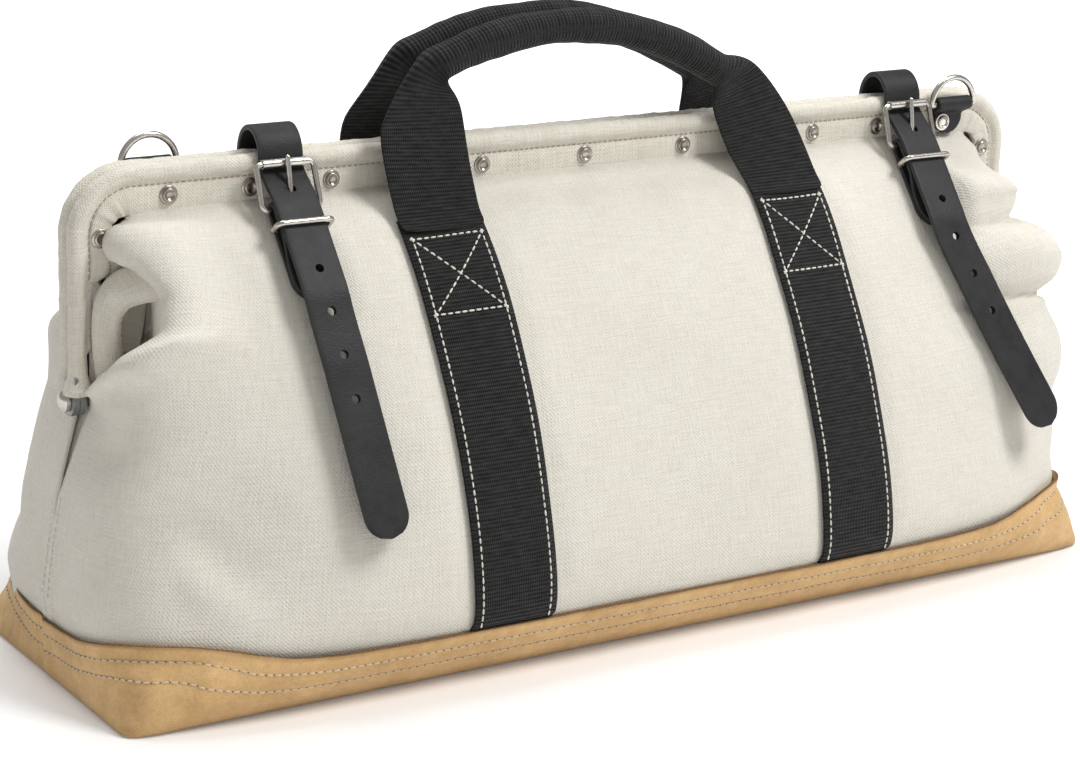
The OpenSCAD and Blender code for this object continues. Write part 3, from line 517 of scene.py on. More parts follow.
print("3 mm beside a 3 mm line:", near_line(np.array([3.0]), np.array([0.0]), [(0, -9), (0, 9)], 3).round(2))

# %% [markdown]
# The two ends differ in the photograph. The left one is a fold, a hollow and a ledge below it. The right one
# stands out past the leg in full steps, with creases pressed in between.

# %% Folds at the two ends
def left_end(x, y, z):
    """Fold, hollow and lower ledge beside the left leg."""
    end = ease(-x, 225, 262)
    fold = near_line(y, z, [(16, 232), (30, 216), (42, 200), (50, 184), (46, 172)], 8)
    mouth = [(7, 222), (22, 219), (34, 204), (42, 188), (32, 173), (18, 160), (7, 156)]
    hollow = ease(inside(y, z, mouth), -1.5, 6)
    ledge = near_line(y, z, [(48, 181), (32, 168), (14, 156)], 4.5)
    return end * (10 * fold - 24 * hollow + 6 * ledge * (1 - hollow) - 5 * hill(y, 40, 16) * hill(z, 128, 14)) - (
        7 * hill(x, -262, 42) * hill(z, 92, 34) * ease(y, 30, 70))


def right_end(x, y, z):
    """Full, stepped folds that stand out past the right leg."""
    end = ease(x, 205, 262)
    full = 27 * hill(y, 44, 24) * hill(z, 170, 22) + 20 * hill(y, 28, 15) * hill(z, 208, 15)
    full += 15 * hill(y, 62, 34) * hill(z, 118, 30)
    crease = near_line(y, z, [(8, 194), (40, 190), (66, 200)], 3.5)
    crease += 1.3 * near_line(y, z, [(8, 150), (45, 148), (80, 158)], 4)
    return end * (full - 6 * crease)


print("in the left hollow:", left_end(*np.array([[-275.0], [25.0], [190.0]])).round(1), "mm")

# %% [markdown]
# The whole relief adds these up, and lets them die out at the foot, at the rail and under the straps.

# %% Relief of the whole wall
STRAPS = {"left": -190.0, "right": 220.0}
WEBS, WEB_W = {"left": -107.5, "right": 118.5}, 50.0
RIVET_PITCH = 46.3


def relief(points, side):
    """How far the cloth stands out from the plain wall, in mm; side is front or back."""
    x, y, z = points[..., 0], np.abs(points[..., 1]), points[..., 2]
    seed = 3 if side == "front" else 30
    # slow dents where the cloth is free, full beside the webbing and drawn in along its edge
    free = ease(z, 34, 60) * (1 - ease(z, 226, 240))
    out = free * (1.9 * waves(points, 190, seed) + 0.7 * waves(points, 66, seed + 1))
    beside = np.minimum(np.abs(x - WEBS["right"]), np.abs(x - WEBS["left"])) - WEB_W / 2
    out += 1.1 * ease(beside, 0, 16) * free
    out -= 0.9 * hill(beside, 2, 4) * free
    # puckers between the rivets, creases over the base corners, the seam of each end, the spare cloth above it
    out += 0.8 * np.cos(2 * np.pi * x / RIVET_PITCH) * hill(z, 236, 16) * ease(y, 6, 20)
    end = ease(np.abs(x), 205, 275)
    corner = np.hypot(np.abs(x) - 285, (y - 84) * 0.8)
    out += 2.2 * np.sin(z / 7.5 + corner / 9 + seed) * np.exp(-((corner / 34) ** 2)) * hill(z, 74, 26)
    out += 1.2 * (1 - ease(y, 5, 7)) * ease(np.abs(x), 250, 280) * (1 - ease(z, 98, 104)) * ease(z, 30, 34)
    out += end * 6 * hill(y, 50, 26) * hill(z, 150, 60)
    if side == "front":
        out = np.where(x < 0, out + left_end(x, y, z), out + right_end(x, y, z))
        for strap in STRAPS.values():
            held = (1 - ease(np.abs(x - strap), 16, 27)) * ease(z, 184, 194)
            out = out * (1 - held) + np.minimum(out, 0) * held
    else:
        out += end * (10 * hill(y, 36, 20) * hill(z, 196, 30) - 5 * near_line(y, z, [(8, 200), (60, 168)], 5))
    return out * ease(z, 2, 12) * (1 - ease(z, 236, 240.5))


def surface_normals(points):
    """Outward normals of a grid whose rows go up and whose columns go from the left end to the right."""
    normal = np.cross(np.gradient(points, axis=1), np.gradient(points, axis=0))
    return normal / np.maximum(np.linalg.norm(normal, axis=-1, keepdims=True), 1e-9)


# %% [markdown]
# ## Canvas panels
#
# The front and the back are one pattern each, from the end seam round to the other end seam. A fine grid of
# points goes on the outline and is pushed out or in by the relief.

# %% Front and back panels
END_COLUMNS, SIDE_COLUMNS, LEVELS = 34, 170, 104
PANEL_T = 1.5
sides = np.linspace(0, 1, END_COLUMNS, endpoint=False)
plan_x = np.concatenate([-np.ones(END_COLUMNS), np.linspace(-1, 1, SIDE_COLUMNS), np.ones(END_COLUMNS)])
plan_y = np.concatenate([sides, np.ones(SIDE_COLUMNS), sides[::-1]])
levels = np.concatenate([np.linspace(2.1, 240.7, LEVELS), [246.0]])
level_grid = levels[:, None] + 0 * plan_x[None, :]


def on_side(points, side):
    """The same points, mirrored for the back."""
    return points * np.array([1, -1, 1]) if side == "back" else points


def hang(piece):
    """Bake the piece's transform into its mesh."""
    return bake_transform(piece)


for side in ("front", "back"):
    plain = plan_point(plan_x[None, :], plan_y[None, :], level_grid)
    dents = relief(plain, side)
    cloth = plain + surface_normals(plain) * dents[..., None]
    u, v = np.meshgrid(steps(plain[40]), steps(plain[:, END_COLUMNS + SIDE_COLUMNS // 2]))
    panel = grid_piece(side + "_canvas_panel", on_side(cloth, side), u, v, canvas, canvas_edge, canvas_inside_painted_shade,
                       turn=side == "back")
    # the inner side takes the darker canvas, painted shade for the hollows
    thickened(panel, PANEL_T, 1, inner_material=2)
    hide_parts(side + "_canvas_lower", side + "_canvas_upper")
    hang(panel)
    print(panel.name, len(panel.data.polygons), "faces, relief", round(dents.min()), "to", round(dents.max()), "mm")

# %% [markdown]
# ## Mouth bindings
#
# The canvas wraps the steel rod as a round bead and closes under it in a flat flange of two plies, which the
# rivets hold. One outline, drawn across the bead and flange, is swept along the frame: up the left leg, round the
# corner, along the rail and down the right leg. The flange narrows on the legs, and where it ends only the bead
# goes on. Small waves along the path pucker the bead as tight stitching does.

# %% Path along the frame
RAIL_X, RAIL_Z, CORNER_R, RAIL_Y, BEAD_END = 300.2, 263.2, 30.0, 5.1, 152.5


def frame_path(spacing=2.6):
    """Points and inward directions along the frame, and the flange's width at each."""
    straight = np.arange(BEAD_END, RAIL_Z - CORNER_R, spacing)
    bends = np.radians(np.arange(0, 90, 4.0))
    rail = np.arange(-(RAIL_X - CORNER_R), RAIL_X - CORNER_R, spacing)
    left = [((-RAIL_X, z), (1, 0)) for z in straight]
    left += [((-RAIL_X + CORNER_R - CORNER_R * math.cos(a), RAIL_Z - CORNER_R + CORNER_R * math.sin(a)),
              (math.cos(a), -math.sin(a))) for a in bends]
    top = [((x, RAIL_Z), (0, -1)) for x in rail]
    right_side = [((-p[0], p[1]), (-n[0], n[1])) for p, n in reversed(left)]
    path = left + top + right_side
    places, inward = np.array([p for p, n in path]), np.array([n for p, n in path], float)
    on_leg = np.abs(inward[:, 0])
    width = 22 - 5 * on_leg
    width = np.where(places[:, 1] < 213, 7.5 + 9.5 * ease(places[:, 1], 210, 213), width)
    width = np.where(places[:, 1] < 176, 4.5 + 3 * ease(places[:, 1], 173.5, 176), width)
    return places, inward, width


rim_places, rim_inward, rim_width = frame_path()
print("frame path", len(rim_places), "points")

# %% Sweep the bindings
BEAD_R, PLY_Y = 4.8, 2.55  # radius of the bead, half the flange's thickness
bead_turns = np.radians(np.linspace(40, 320, 21))
for side in ("front", "back"):
    flange = [(1.0, -2.3), (0.97, -PLY_Y), (0.75, -2.6), (0.5, -2.6), (0.36, -PLY_Y)]
    near = [(a, b, True) for a, b in flange] + [(6.3, -2.15, False), (5.2, -2.1, False)]
    bead = [(BEAD_R * math.cos(t), -BEAD_R * math.sin(t), False) for t in bead_turns]
    far = [(a, -b, share) for a, b, share in reversed(near)]
    outline = near + bead + far
    rows = []
    for (x, z), (nx, nz), width in zip(rim_places, rim_inward, rim_width):
        reach = [(a * width if share else min(a, width), b) for a, b, share in outline]
        rows.append([(x + nx * a, -(RAIL_Y - b), z + nz * a) for a, b in reach])
    rim = np.array(rows)
    middle = np.stack([rim_places[:, 0], -RAIL_Y + 0 * rim_places[:, 0], rim_places[:, 1]], -1)[:, None, :]
    away = rim - middle
    distance = np.linalg.norm(away, axis=-1, keepdims=True)
    # pucker the bead, spread its foot, wave the flange and gather it round the corners
    pucker = 0.22 * waves(rim, 13, 41) + 0.16 * waves(rim, 5.5, 42)
    foot = (2.6 + 0.7 * waves(rim, 5, 44)) * (1 - ease(rim_places[:, 1], 153, 164))[:, None]
    rim = rim + away / distance * ((pucker + foot) * (distance[..., 0] < 7))[..., None]
    rim[..., 1] -= 0.25 * waves(rim, 24, 43) * (distance[..., 0] >= 7)
    run = steps(middle[:, 0, :])
    bend = (np.abs(rim_inward[:, 0] * rim_inward[:, 1]) * 2)[:, None] * (distance[..., 0] >= 9)
    rim[..., 1] += np.sign(rim[..., 1] + RAIL_Y) * 0.7 * np.clip(np.sin(run / 1.9), -0.4, 1)[:, None] * bend
    around = steps(rim[len(rim) // 2])
    u, v = np.meshgrid(np.append(around, around[-1] + 4), run)
    binding = grid_piece(side + "_binding", on_side(rim, side), u, v, canvas_edge, closed=True, caps=True)
    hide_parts(side + "_rim_binding")
    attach(binding, side + "_frame")
    print(binding.name, "runs", round(float(run[-1])), "mm")

# %% [markdown]
# ## Suede base
#
# A tray of thick suede, stitched over the foot of the canvas. It is built as one sheet: out from the middle of
# the bottom, round the lower edge and up the band, which stands taller at the corners like ears. The corners are
# sharper at the floor than the body above, so the band leans out there. Solidify then gives it its thickness.

# %% Outline of the suede
SUEDE_OUT, SUEDE_T, BAND_H, EAR_H = 3.0, 1.8, 32.5, 12.5
EAR_AT = 42  # degrees from the bag's length to the ear's top
NEEDLE_ROWS = (8.0, 17.0)  # below the band's upper edge


def band_top(dx, dy):
    turn = np.degrees(np.arctan2(np.abs(dy), np.abs(dx)))
    ear_width = np.where(turn < EAR_AT, 20, 8)
    return BAND_H + EAR_H * hill(turn, EAR_AT, ear_width) * np.where(dy > 0, 1, 0.6)


def band_point(dx, dy, z, out):
    """Point of the suede band in a plan direction: square corners on the floor, rounder ones above."""
    corner = np.interp(z, [0, 2, 10, 37], [0.984, 0.978, 0.945, 0.85])
    n = -math.log(2) / np.log(corner)
    size = (np.abs(dx) ** n + np.abs(dy) ** n) ** (1 / n)
    shy = 9 * ease(z, 0, 24) * hill(dy, -0.75, 0.4) * (dx < -0.5)
    return np.stack([(length_at(z) + out - shy) * dx / size, -(depth_at(z) + out) * dy / size, z + 0 * dx], -1)


LONG_STEPS, END_STEPS = 150, 56
walk = 2 * np.linspace(0, 1, LONG_STEPS, endpoint=False) - 1
end_walk = np.linspace(-1, 1, END_STEPS, endpoint=False)
ring_x = np.concatenate([-np.ones(END_STEPS), walk, np.ones(END_STEPS), -walk])
ring_y = np.concatenate([end_walk, np.ones(LONG_STEPS), -end_walk, -np.ones(LONG_STEPS)])
tops = band_top(ring_x, ring_y)
print("suede ears", round(float(tops.max())), "mm high")


def end_seam(points):
    """Ridge of the lapped seam in the middle of each end, with the hollow beside it."""
    at_end = np.abs(points[..., 0]) > 290
    return at_end * (1.7 * hill(points[..., 1], -1, 3.6) - 1.3 * hill(points[..., 1], 7, 4.5))


def suede_relief(points):
    """How far the band stands out, in mm: slow dents, ripples on the ears and the seam of each end."""
    dent = 0.5 * waves(points, 55, 51) + 0.3 * waves(points, 16, 52)
    dent += ease(tops, 34, 44) * 1.6 * np.sin(points[..., 0] / 4.5) * hill(points[..., 2], 22, 12)
    return np.clip(dent, -1.2, 1.5) + end_seam(points)


# %% Suede tray
tray = [band_point(ring_x, ring_y, 0 * ring_x, -3.0) * np.array([k, k, 0]) + np.array([0, 0, 0.2])
        for k in (0.001, 0.3, 0.6, 0.85, 0.96)]
tray.append(band_point(ring_x, ring_y, 0 * ring_x, -1.2) * np.array([1, 1, 0]))
tray.append(band_point(ring_x, ring_y, 0.9 + 0 * ring_x, SUEDE_OUT - 0.6))
for share in np.linspace(0.09, 1, 22):
    tray.append(band_point(ring_x, ring_y, share * tops, SUEDE_OUT))
tray = np.array(tray)
below = np.maximum(0, tops[None, :] - tray[..., 2])
groove = 0.35 * hill(below, sum(NEEDLE_ROWS) / 2, 3) - 0.5 * sum(hill(below, drop, 1.1) for drop in NEEDLE_ROWS)
away = tray - np.array([0, 0, 1]) * tray
away /= np.maximum(np.linalg.norm(away, axis=-1, keepdims=True), 1)
tray = tray + away * ((suede_relief(tray) + groove) * ease(tray[..., 2], 1.5, 6))[..., None]
u = np.tile(steps(np.vstack([tray[8], tray[8][:1]])), (len(tray), 1))
base = grid_piece("suede_tray", tray, u, below, suede, suede_edge, closed=True)
weld(base.data, 0.0006)
if sum(f.normal.z * f.area for f in base.data.polygons) > 0:
    base.data.flip_normals()
thickened(base, SUEDE_T, 1)
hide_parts("suede_base")
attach(base, "bag")
print("suede tray", len(base.data.polygons), "faces")

# %% [markdown]
# ## Webbing
#
# Two strips of 50 mm belting climb each side of the bag, sewn down from the base to the top of the stitched box.
# A strip follows the dents of the canvas under it, because it asks the same relief where the cloth is.

# %% Strips sewn to the walls
WEB_T, WEB_LOW, WEB_TOP = 2.2, 31.0, 229.0
WEB_GAP = 0.55  # between the canvas and the strip


def on_wall(x, z, out, side):
    """Point out mm above the dented cloth, for arrays of x and z; the back is mirrored."""
    def flat(a, b):
        return np.stack([a, -wall_y(a, b), b], -1)
    here = flat(x, z)
    normal = np.cross(flat(x + 0.5, z) - flat(x - 0.5, z), flat(x, z + 0.5) - flat(x, z - 0.5))
    normal /= np.linalg.norm(normal, axis=-1, keepdims=True)
    point = here + normal * (relief(here, side) + out)[..., None]
    return on_side(point, side)


strip_z = np.linspace(WEB_LOW, WEB_TOP, 118)
u, z = np.meshgrid([-25, -24.2, -20, -14, -7, 0, 7, 14, 20, 24.2, 25], strip_z)
edge_drop = 0.45 * (np.abs(u) > 24.5)
sunk = WEB_T * (1 - ease(z, BAND_H, 37))  # the foot goes under the suede
for side in ("front", "back"):
    for end, centre in WEBS.items():
        points = on_wall(centre + u, z, WEB_GAP + WEB_T - edge_drop - sunk, side)
        length = steps(on_wall(centre + 0 * strip_z, strip_z, 0 * strip_z, side))
        v = length[:, None] + 0 * u
        strip = grid_piece(f"{side}_webbing_{end}", points, u, v, webbing, turn=side == "back")
        thickened(strip, WEB_T)
        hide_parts(side + "_webbing_lower", side + "_webbing_upper")
        hang(strip)
print("webbing sewn up to", WEB_TOP, "mm")

# %% [markdown]
# ## Handles
#
# The belting goes on above the stitched box as a flat leg, leans in, folds over and is rolled into a round grip.
# One loft makes a whole handle. Each station is an oval given by its inner and outer edge and its thickness: wide
# and thin on the legs, round along the grip. At the fold the stations fan out round the inner corner, which draws
# the pointed outer corner that folded webbing has.

# %% Edges of a handle's legs
GRIP_Y, GRIP_R, CORD_R, LIE = 14.5, 9.8, 7.0, 3.65
ARCH_X, ARCH_Z = -20, 324.7  # top of the grip's middle line
fold_shapes = [(0.8, 9), (1.0, 9), (1.1, 9), (1.1, 9), (1.1, 9), (1.15, 9), (1.2, 8), (1.3, 7), (1.6, 6),
               (2.4, 4.5), (4.0, 3.4), (6.6, 2.6), (8.8, 2.2)]  # half thickness, roundness
leg_edges = {  # inner x and z, outer x and z
    "left": [(-82.5, 222.5, -132.5, 222.5), (-82.5, 226, -132.5, 226), (-82.6, 230, -132.8, 230),
             (-83, 240, -134, 241), (-83.8, 252, -135.5, 255), (-84.6, 264, -136.5, 269),
             (-85.2, 276, -136, 277.5), (-85.6, 284.5, -130.8, 285.5), (-87, 290.2, -124.6, 294.4),
             (-89.5, 293.8, -118.8, 302.6), (-92, 296.6, -113.6, 309.6), (-94, 298.6, -108.8, 314.6),
             (-95, 300, -104.8, 317.3)],
    "right": [(93.5, 222.5, 143.5, 222.5), (93.5, 226, 143.5, 226), (93.2, 230, 143.2, 230),
              (89.5, 239, 140.3, 241), (86, 248, 137, 252), (83.2, 257, 133.2, 262.5), (81.2, 265, 128.6, 272),
              (80.2, 272, 123, 281), (80.2, 277.5, 116.4, 288.5), (80.4, 281, 110.8, 293.6),
              (80.5, 283, 105.8, 297.4), (80.4, 284.3, 100.4, 300), (80.2, 285, 95, 301.4)]}
print("stations on a leg:", len(fold_shapes))

# %% Sections of a handle
SIDES, WALL_END = 44, 230.0  # points round a section, height at which a leg leaves the wall
turns = np.radians(np.arange(SIDES) * 360 / SIDES)


def oval(roundness):
    """Closed outline from flat and square-edged to round, width and thickness from -1 to 1."""
    c, s = np.cos(turns), np.sin(turns)
    return (np.sign(c) * np.abs(c) ** (2 / roundness), np.sign(s) * np.abs(s) ** (2 / roundness))


def leg_stations(end):
    """Centre, half width and shape of each section of one leg, from the stitched box up."""
    stations = []
    top = leg_edges[end][-1][1]
    for (ix, iz, ox, oz), (half, roundness) in zip(leg_edges[end], fold_shapes):
        x, z = (ix + ox) / 2, (iz + oz) / 2
        foot = on_wall(np.array(x), np.array(min(z, WALL_END)), np.array(LIE), "front")
        rise = np.clip((z - WALL_END) / (top - 236), 0, 1)
        y = foot[1] + (-GRIP_Y - foot[1]) * rise
        z += max(0.0, foot[2] - min(z, WALL_END)) * (1 - ease(z, WALL_END, WALL_END + 20))
        stations.append((np.array([x, y, z]), np.array([ox - ix, 0, oz - iz]) / 2, half, roundness))
    return stations


def grip_stations():
    """The same for the rolled grip: an arch that falls a little faster to the right of its top."""
    stations = []
    for x in np.linspace(-96, 83, 62):
        fall = 0.0025 if x < ARCH_X else 0.0029
        slope = -2 * fall * (x - ARCH_X)
        way = np.array([-slope, 0, 1]) / math.hypot(slope, 1)
        radius = GRIP_R * (0.97 + 0.03 * math.cos(x / 9))
        stations.append((np.array([x, -GRIP_Y, ARCH_Z - fall * (x - ARCH_X) ** 2]), way * radius, radius, 2.0))
    return stations


def loft_of(stations):
    """Rings of points, one for each section."""
    rows = []
    for centre, half, thick, roundness in stations:
        wide, deep = oval(roundness)
        rows.append(centre + half * wide[:, None] - np.array([0, thick, 0]) * deep[:, None])
    return np.array(rows)


print("handle sections:", len(leg_stations("left") + grip_stations() + leg_stations("right")))

# %% Handles and their cords
for side in ("front", "back"):
    loft = loft_of(leg_stations("left") + grip_stations() + leg_stations("right")[::-1])
    middle = loft.mean(axis=1, keepdims=True)
    along = steps(middle[:, 0, :])
    rolled = ease(loft[..., 2], 280, 300) * (np.abs(loft[..., 0] + 7) < 92)
    seam = hill((np.degrees(turns)[None, :] - 205 + 180) % 360 - 180, 0, 9) * rolled
    push = 0.3 * waves(loft, 46, 61) + 0.2 * waves(loft, 15, 62) * rolled - 0.8 * seam
    loft = loft + (loft - middle) / np.linalg.norm(loft - middle, axis=-1, keepdims=True) * push[..., None] * (
        0.2 + 0.8 * rolled)[..., None]
    u, v = np.meshgrid(steps(np.vstack([loft[2], loft[2][:1]])) - 25, along)
    cord = loft_of([(centre, half / thick * CORD_R, CORD_R, 2.0) for centre, half, thick, _ in grip_stations()])
    handle = grid_piece(side + "_handle", on_side(loft, side), u, v, webbing, closed=True, caps=True)
    soft = handle.modifiers.new("smooth", "SUBSURF")
    soft.levels = soft.render_levels = 1
    settled(handle)
    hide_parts(side + "_handle_webbing")
    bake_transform(handle)
    filling = grid_piece(side + "_grip_cord", on_side(cord, side), u[:len(cord)], cord[..., 0], core,
                         closed=True, caps=True)
    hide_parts(side + "_handle_core")
    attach(filling, side + "_handle")
    print(handle.name, "is", round(float(along[-1])), "mm long")

# %% [markdown]
# ## Leather strips
#
# Straps, chapes and ring tabs are all strips cut from a hide: a flat band with slightly rounded edges that
# follows a line. `strip_piece` sweeps such a section along a line of centres. The width may change along the
# line, and a half circle of widths at an end gives the rounded tip. Normals say which way the strip faces, so it
# can bend and slant at once.

# %% Sweep a strip
def strip_piece(name, centres, normals, widths, thick, *materials, edge=0.7):
    """Closed band along a line of centres, with rounded edges."""
    centres, normals = np.array(centres, float), np.array(normals, float)
    ahead = np.gradient(centres, axis=0)
    ahead /= np.linalg.norm(ahead, axis=1, keepdims=True)
    normals -= ahead * np.sum(normals * ahead, axis=1, keepdims=True)
    normals /= np.linalg.norm(normals, axis=1, keepdims=True)
    sideways = np.cross(ahead, normals)
    half_w, half_t = np.array(widths, float)[:, None] / 2, thick / 2
    slack = np.minimum(edge, half_w * 0.5)
    flat = [(-1, 1, -1), (-0.82, 1, 0), (-0.4, 1, 0), (0, 1, 0), (0.4, 1, 0), (0.82, 1, 0), (1, 1, -1)]
    top = [(a * half_w + np.sign(a) * s * slack, t * half_t + 0 * half_w) for a, t, s in flat]
    round_right = [(half_w - 0.3 * slack, half_t - 0.3 * edge + 0 * half_w), (half_w, half_t - edge + 0 * half_w)]
    right_edge = round_right + [(a, -b) for a, b in reversed(round_right)]
    bottom = [(a, -b) for a, b in reversed(top)]
    left_edge = [(-a, b) for a, b in reversed(right_edge)]
    section = top + right_edge + bottom + left_edge
    u = np.concatenate([a for a, b in section], axis=1)
    lift = np.concatenate([b for a, b in section], axis=1)
    points = centres[:, None, :] + sideways[:, None, :] * u[..., None] + normals[:, None, :] * lift[..., None]
    along = steps(centres)[:, None] + 0 * u
    u = np.concatenate([u, u[:, :1]], axis=1)
    return grid_piece(name, points, u, along, *materials, closed=True, caps=True)


# %% Ease the corners of a line
def rounded(line, radius=4.0, spacing=1.5):
    """A line through these (y, z) points with its corners eased, at even spacing."""
    line = np.array(line, float)
    full = [line[0]]
    for a, b, c in zip(line, line[1:], line[2:]):
        near, far = min(radius, np.linalg.norm(a - b) / 2), min(radius, np.linalg.norm(c - b) / 2)
        p, q = b + (a - b) / np.linalg.norm(a - b) * near, b + (c - b) / np.linalg.norm(c - b) * far
        for t in np.linspace(0, 1, 7):
            full.append((1 - t) ** 2 * p + 2 * t * (1 - t) * b + t * t * q)
    full.append(line[-1])
    full = np.array(full)
    keep = np.concatenate([[True], np.linalg.norm(np.diff(full, axis=0), axis=1) > 1e-6])
    full, run = full[keep], steps(full[keep])
    even = np.linspace(0, run[-1], max(4, int(run[-1] / spacing)))
    return np.stack([np.interp(even, run, full[:, k]) for k in range(2)], -1)


print("an eased right angle of 40 mm:", round(steps(rounded([(0, 0), (0, 20), (20, 20)]))[-1], 1), "mm")


# %% [markdown]
# ## Where a strap runs
#
# The chape lies on the front wall, tilted as the wall is there. The buckle's heel bar sits in the chape's fold,
# and its roller stands in front of the rails. From these the strap's line follows: up from the back flange, over
# both rails, down behind the roller, over the heel bar, and down the front as a loose tail. The two tails slant
# a little, as they do in the photograph.

# %% Section of each strap
CHAPE_TOP, CHAPE_SPAN, CHAPE_LIFT, CHAPE_T, CHAPE_L = 233.0, 40.0, 2.3, 2.5, 51.0
WIRE, HEEL_UP, BUCKLE_L, STRAP_T, STRAP_W = 3.2, 6.0, 24.0, 3.0, 25.0
FOLD_R = WIRE / 2 + 0.4
STRAP_FRONT, ROLLER_Y = 12.05, 16.35
TAIL_L, SLANT = 128.0, {"left": 8.0, "right": 43.0}


class Section:
    """Places of one strap, chape and buckle in the section across the bag, as (y, z) in mm."""

    def __init__(self, x):
        self.x = x
        self.top_y = float(wall_y(np.array(x), np.array(CHAPE_TOP)))
        low_y = float(wall_y(np.array(x), np.array(CHAPE_TOP - CHAPE_SPAN)))
        self.tilt = math.atan2(low_y - self.top_y, CHAPE_SPAN)
        self.heel = self.on_chord(CHAPE_LIFT + CHAPE_T + FOLD_R, HEEL_UP)
        self.buckle_tilt = math.asin((-ROLLER_Y - self.heel[0]) / BUCKLE_L)
        self.roller = (-ROLLER_Y, self.heel[1] + BUCKLE_L * math.cos(self.buckle_tilt))
        lie = CHAPE_LIFT + 2 * CHAPE_T + 2 * FOLD_R + 0.3 + STRAP_T / 2
        self.knee, self.hip = self.on_chord(lie, HEEL_UP + 1), self.on_chord(lie, HEEL_UP - CHAPE_L)
        self.tail_tilt = self.tilt - math.radians(13.5)

    def on_chord(self, out, up):
        return (-self.top_y - out * math.cos(self.tilt) + up * math.sin(self.tilt),
                CHAPE_TOP + out * math.sin(self.tilt) + up * math.cos(self.tilt))

    def on_tail(self, down):
        return (self.hip[0] - down * math.sin(self.tail_tilt), self.hip[1] - down * math.cos(self.tail_tilt))

    def strap_line(self):
        low, high = 265.2, 280.5 - 265.2
        arch = [(STRAP_FRONT * math.cos(a), low + high * math.sin(a)) for a in np.radians(range(0, 181, 12))]
        return ([(STRAP_FRONT, 243.7)] + arch + [(-STRAP_FRONT, self.roller[1] - 4), self.knee, self.hip]
                + [self.on_tail(TAIL_L)])


sections = {end: Section(x) for end, x in STRAPS.items()}
for end, section in sections.items():
    print(end, "tilt", round(math.degrees(section.tilt), 1), "roller", [round(c, 1) for c in section.roller])

# %% [markdown]
# ## Straps
#
# Each strap is swept in one piece from its rivets on the back flange to its tip. The punched holes are real: small
# cylinders are taken away with a Boolean, and a narrow bevel rounds the rims so that they catch the light.

# %% Normals and tips of a strip
def facing(line):
    """Normals of a (y, z) line, turned to its left."""
    ahead = np.gradient(line, axis=0)
    ahead /= np.linalg.norm(ahead, axis=1, keepdims=True)
    return np.stack([0 * ahead[:, 0], ahead[:, 1], -ahead[:, 0]], -1)


def at_place(line, x):
    """Points of a (y, z) line, at x along the bag."""
    return np.stack([x + 0 * line[:, 0], line[:, 0], line[:, 1]], -1)


def tip_widths(run, full, start=None, end=None):
    """Widths along a strip with rounded ends: start and end are the tips' radii."""
    widths = np.full(len(run), full, float)
    for tip, way in ((start, run), (end, run[-1] - run)):
        if tip:
            k = np.clip(way / tip, 0, 1)
            widths = np.minimum(widths, full * np.sqrt(np.maximum(0.0004, 1 - (1 - k) ** 2)))
    return widths


print("a 25 mm strip from its tip:", tip_widths(np.array([0.0, 3, 6, 12, 40]), 25, start=12).round(1))

# %% [markdown]
# A Boolean modifier takes one shape away from another. The cutter is a helper object, which goes once the cut is
# kept in the mesh.

# %% Cut-outs and holes
def cut_away(piece, cutter, sharp, bevel=0.0):
    """Take a bmesh away from a piece; edges steeper than sharp degrees stay sharp, a bevel in mm eases the rims."""
    mesh = bpy.data.meshes.new("cutter")
    cutter.to_mesh(mesh)
    cutter.free()
    tool = linked("cutter", mesh)
    cut = piece.modifiers.new("cut", "BOOLEAN")
    cut.object, cut.operation, cut.solver = tool, "DIFFERENCE", "EXACT"
    if bevel:
        soft = piece.modifiers.new("rims", "BEVEL")
        soft.width, soft.segments, soft.limit_method, soft.angle_limit = bevel * MM, 2, "ANGLE", math.radians(50)
    settled(piece)
    bpy.data.objects.remove(tool)
    if bevel:
        for face in piece.data.polygons:
            face.use_smooth = True
    piece.data.set_sharp_from_angle(angle=math.radians(sharp))


def drill(piece, places, ways, radius, length=16.0):
    """Punch round holes in mm through a piece."""
    cutter = bmesh.new()
    for place, way in zip(places, ways):
        turn = Vector((0, 0, 1)).rotation_difference(Vector(way)).to_matrix().to_4x4()
        bmesh.ops.create_cone(cutter, cap_ends=True, segments=28, radius1=radius * MM, radius2=radius * MM,
                              depth=length * MM, matrix=Matrix.Translation(Vector(place) * MM) @ turn)
    cut_away(piece, cutter, 38, bevel=0.35)


HOLE_FIRST, HOLE_STEP, HOLE_R = 6.6, 23, 2.4  # from the knee, between holes, radius
print("holes", 2 * HOLE_R, "mm wide,", HOLE_STEP, "mm apart")


# %% Straps from the back flange to the tip
for end, section in sections.items():
    line = rounded(section.strap_line(), 5.0, 1.6)
    run = steps(line)
    hip_run = run[np.argmin(np.hypot(*(line - np.array(section.hip)).T))]
    down = np.maximum(0, run - hip_run)
    lean = SLANT[end] * (down / TAIL_L) ** 1.25
    curl = 1.6 * np.sin(down / TAIL_L * math.pi) + 1.0 * waves(np.stack([down, 0 * down, 0 * down], -1), 120, 71)
    normals = facing(line)
    centres = at_place(line, section.x + lean) + normals * (curl * ease(down, 4, 40))[:, None]
    strap = strip_piece(end + "_strap_leather", centres, normals,
                        tip_widths(run, STRAP_W, 9, 12.5), STRAP_T, leather)
    knee_run = run[np.argmin(np.hypot(*(line - np.array(section.knee)).T))]
    holes = [knee_run + HOLE_STEP * k - HOLE_FIRST for k in (0, 2, 3, 4, 5)]
    spots, ways = ([np.array([np.interp(h, run, line_of[:, k]) for k in range(3)]) for h in holes]
                   for line_of in (centres, normals))
    drill(strap, spots, ways, HOLE_R)
    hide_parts(end + "_strap", end + "_strap_anchor")
    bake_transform(strap)
    print(strap.name, round(float(run[-1])), "mm,", len(holes), "holes")

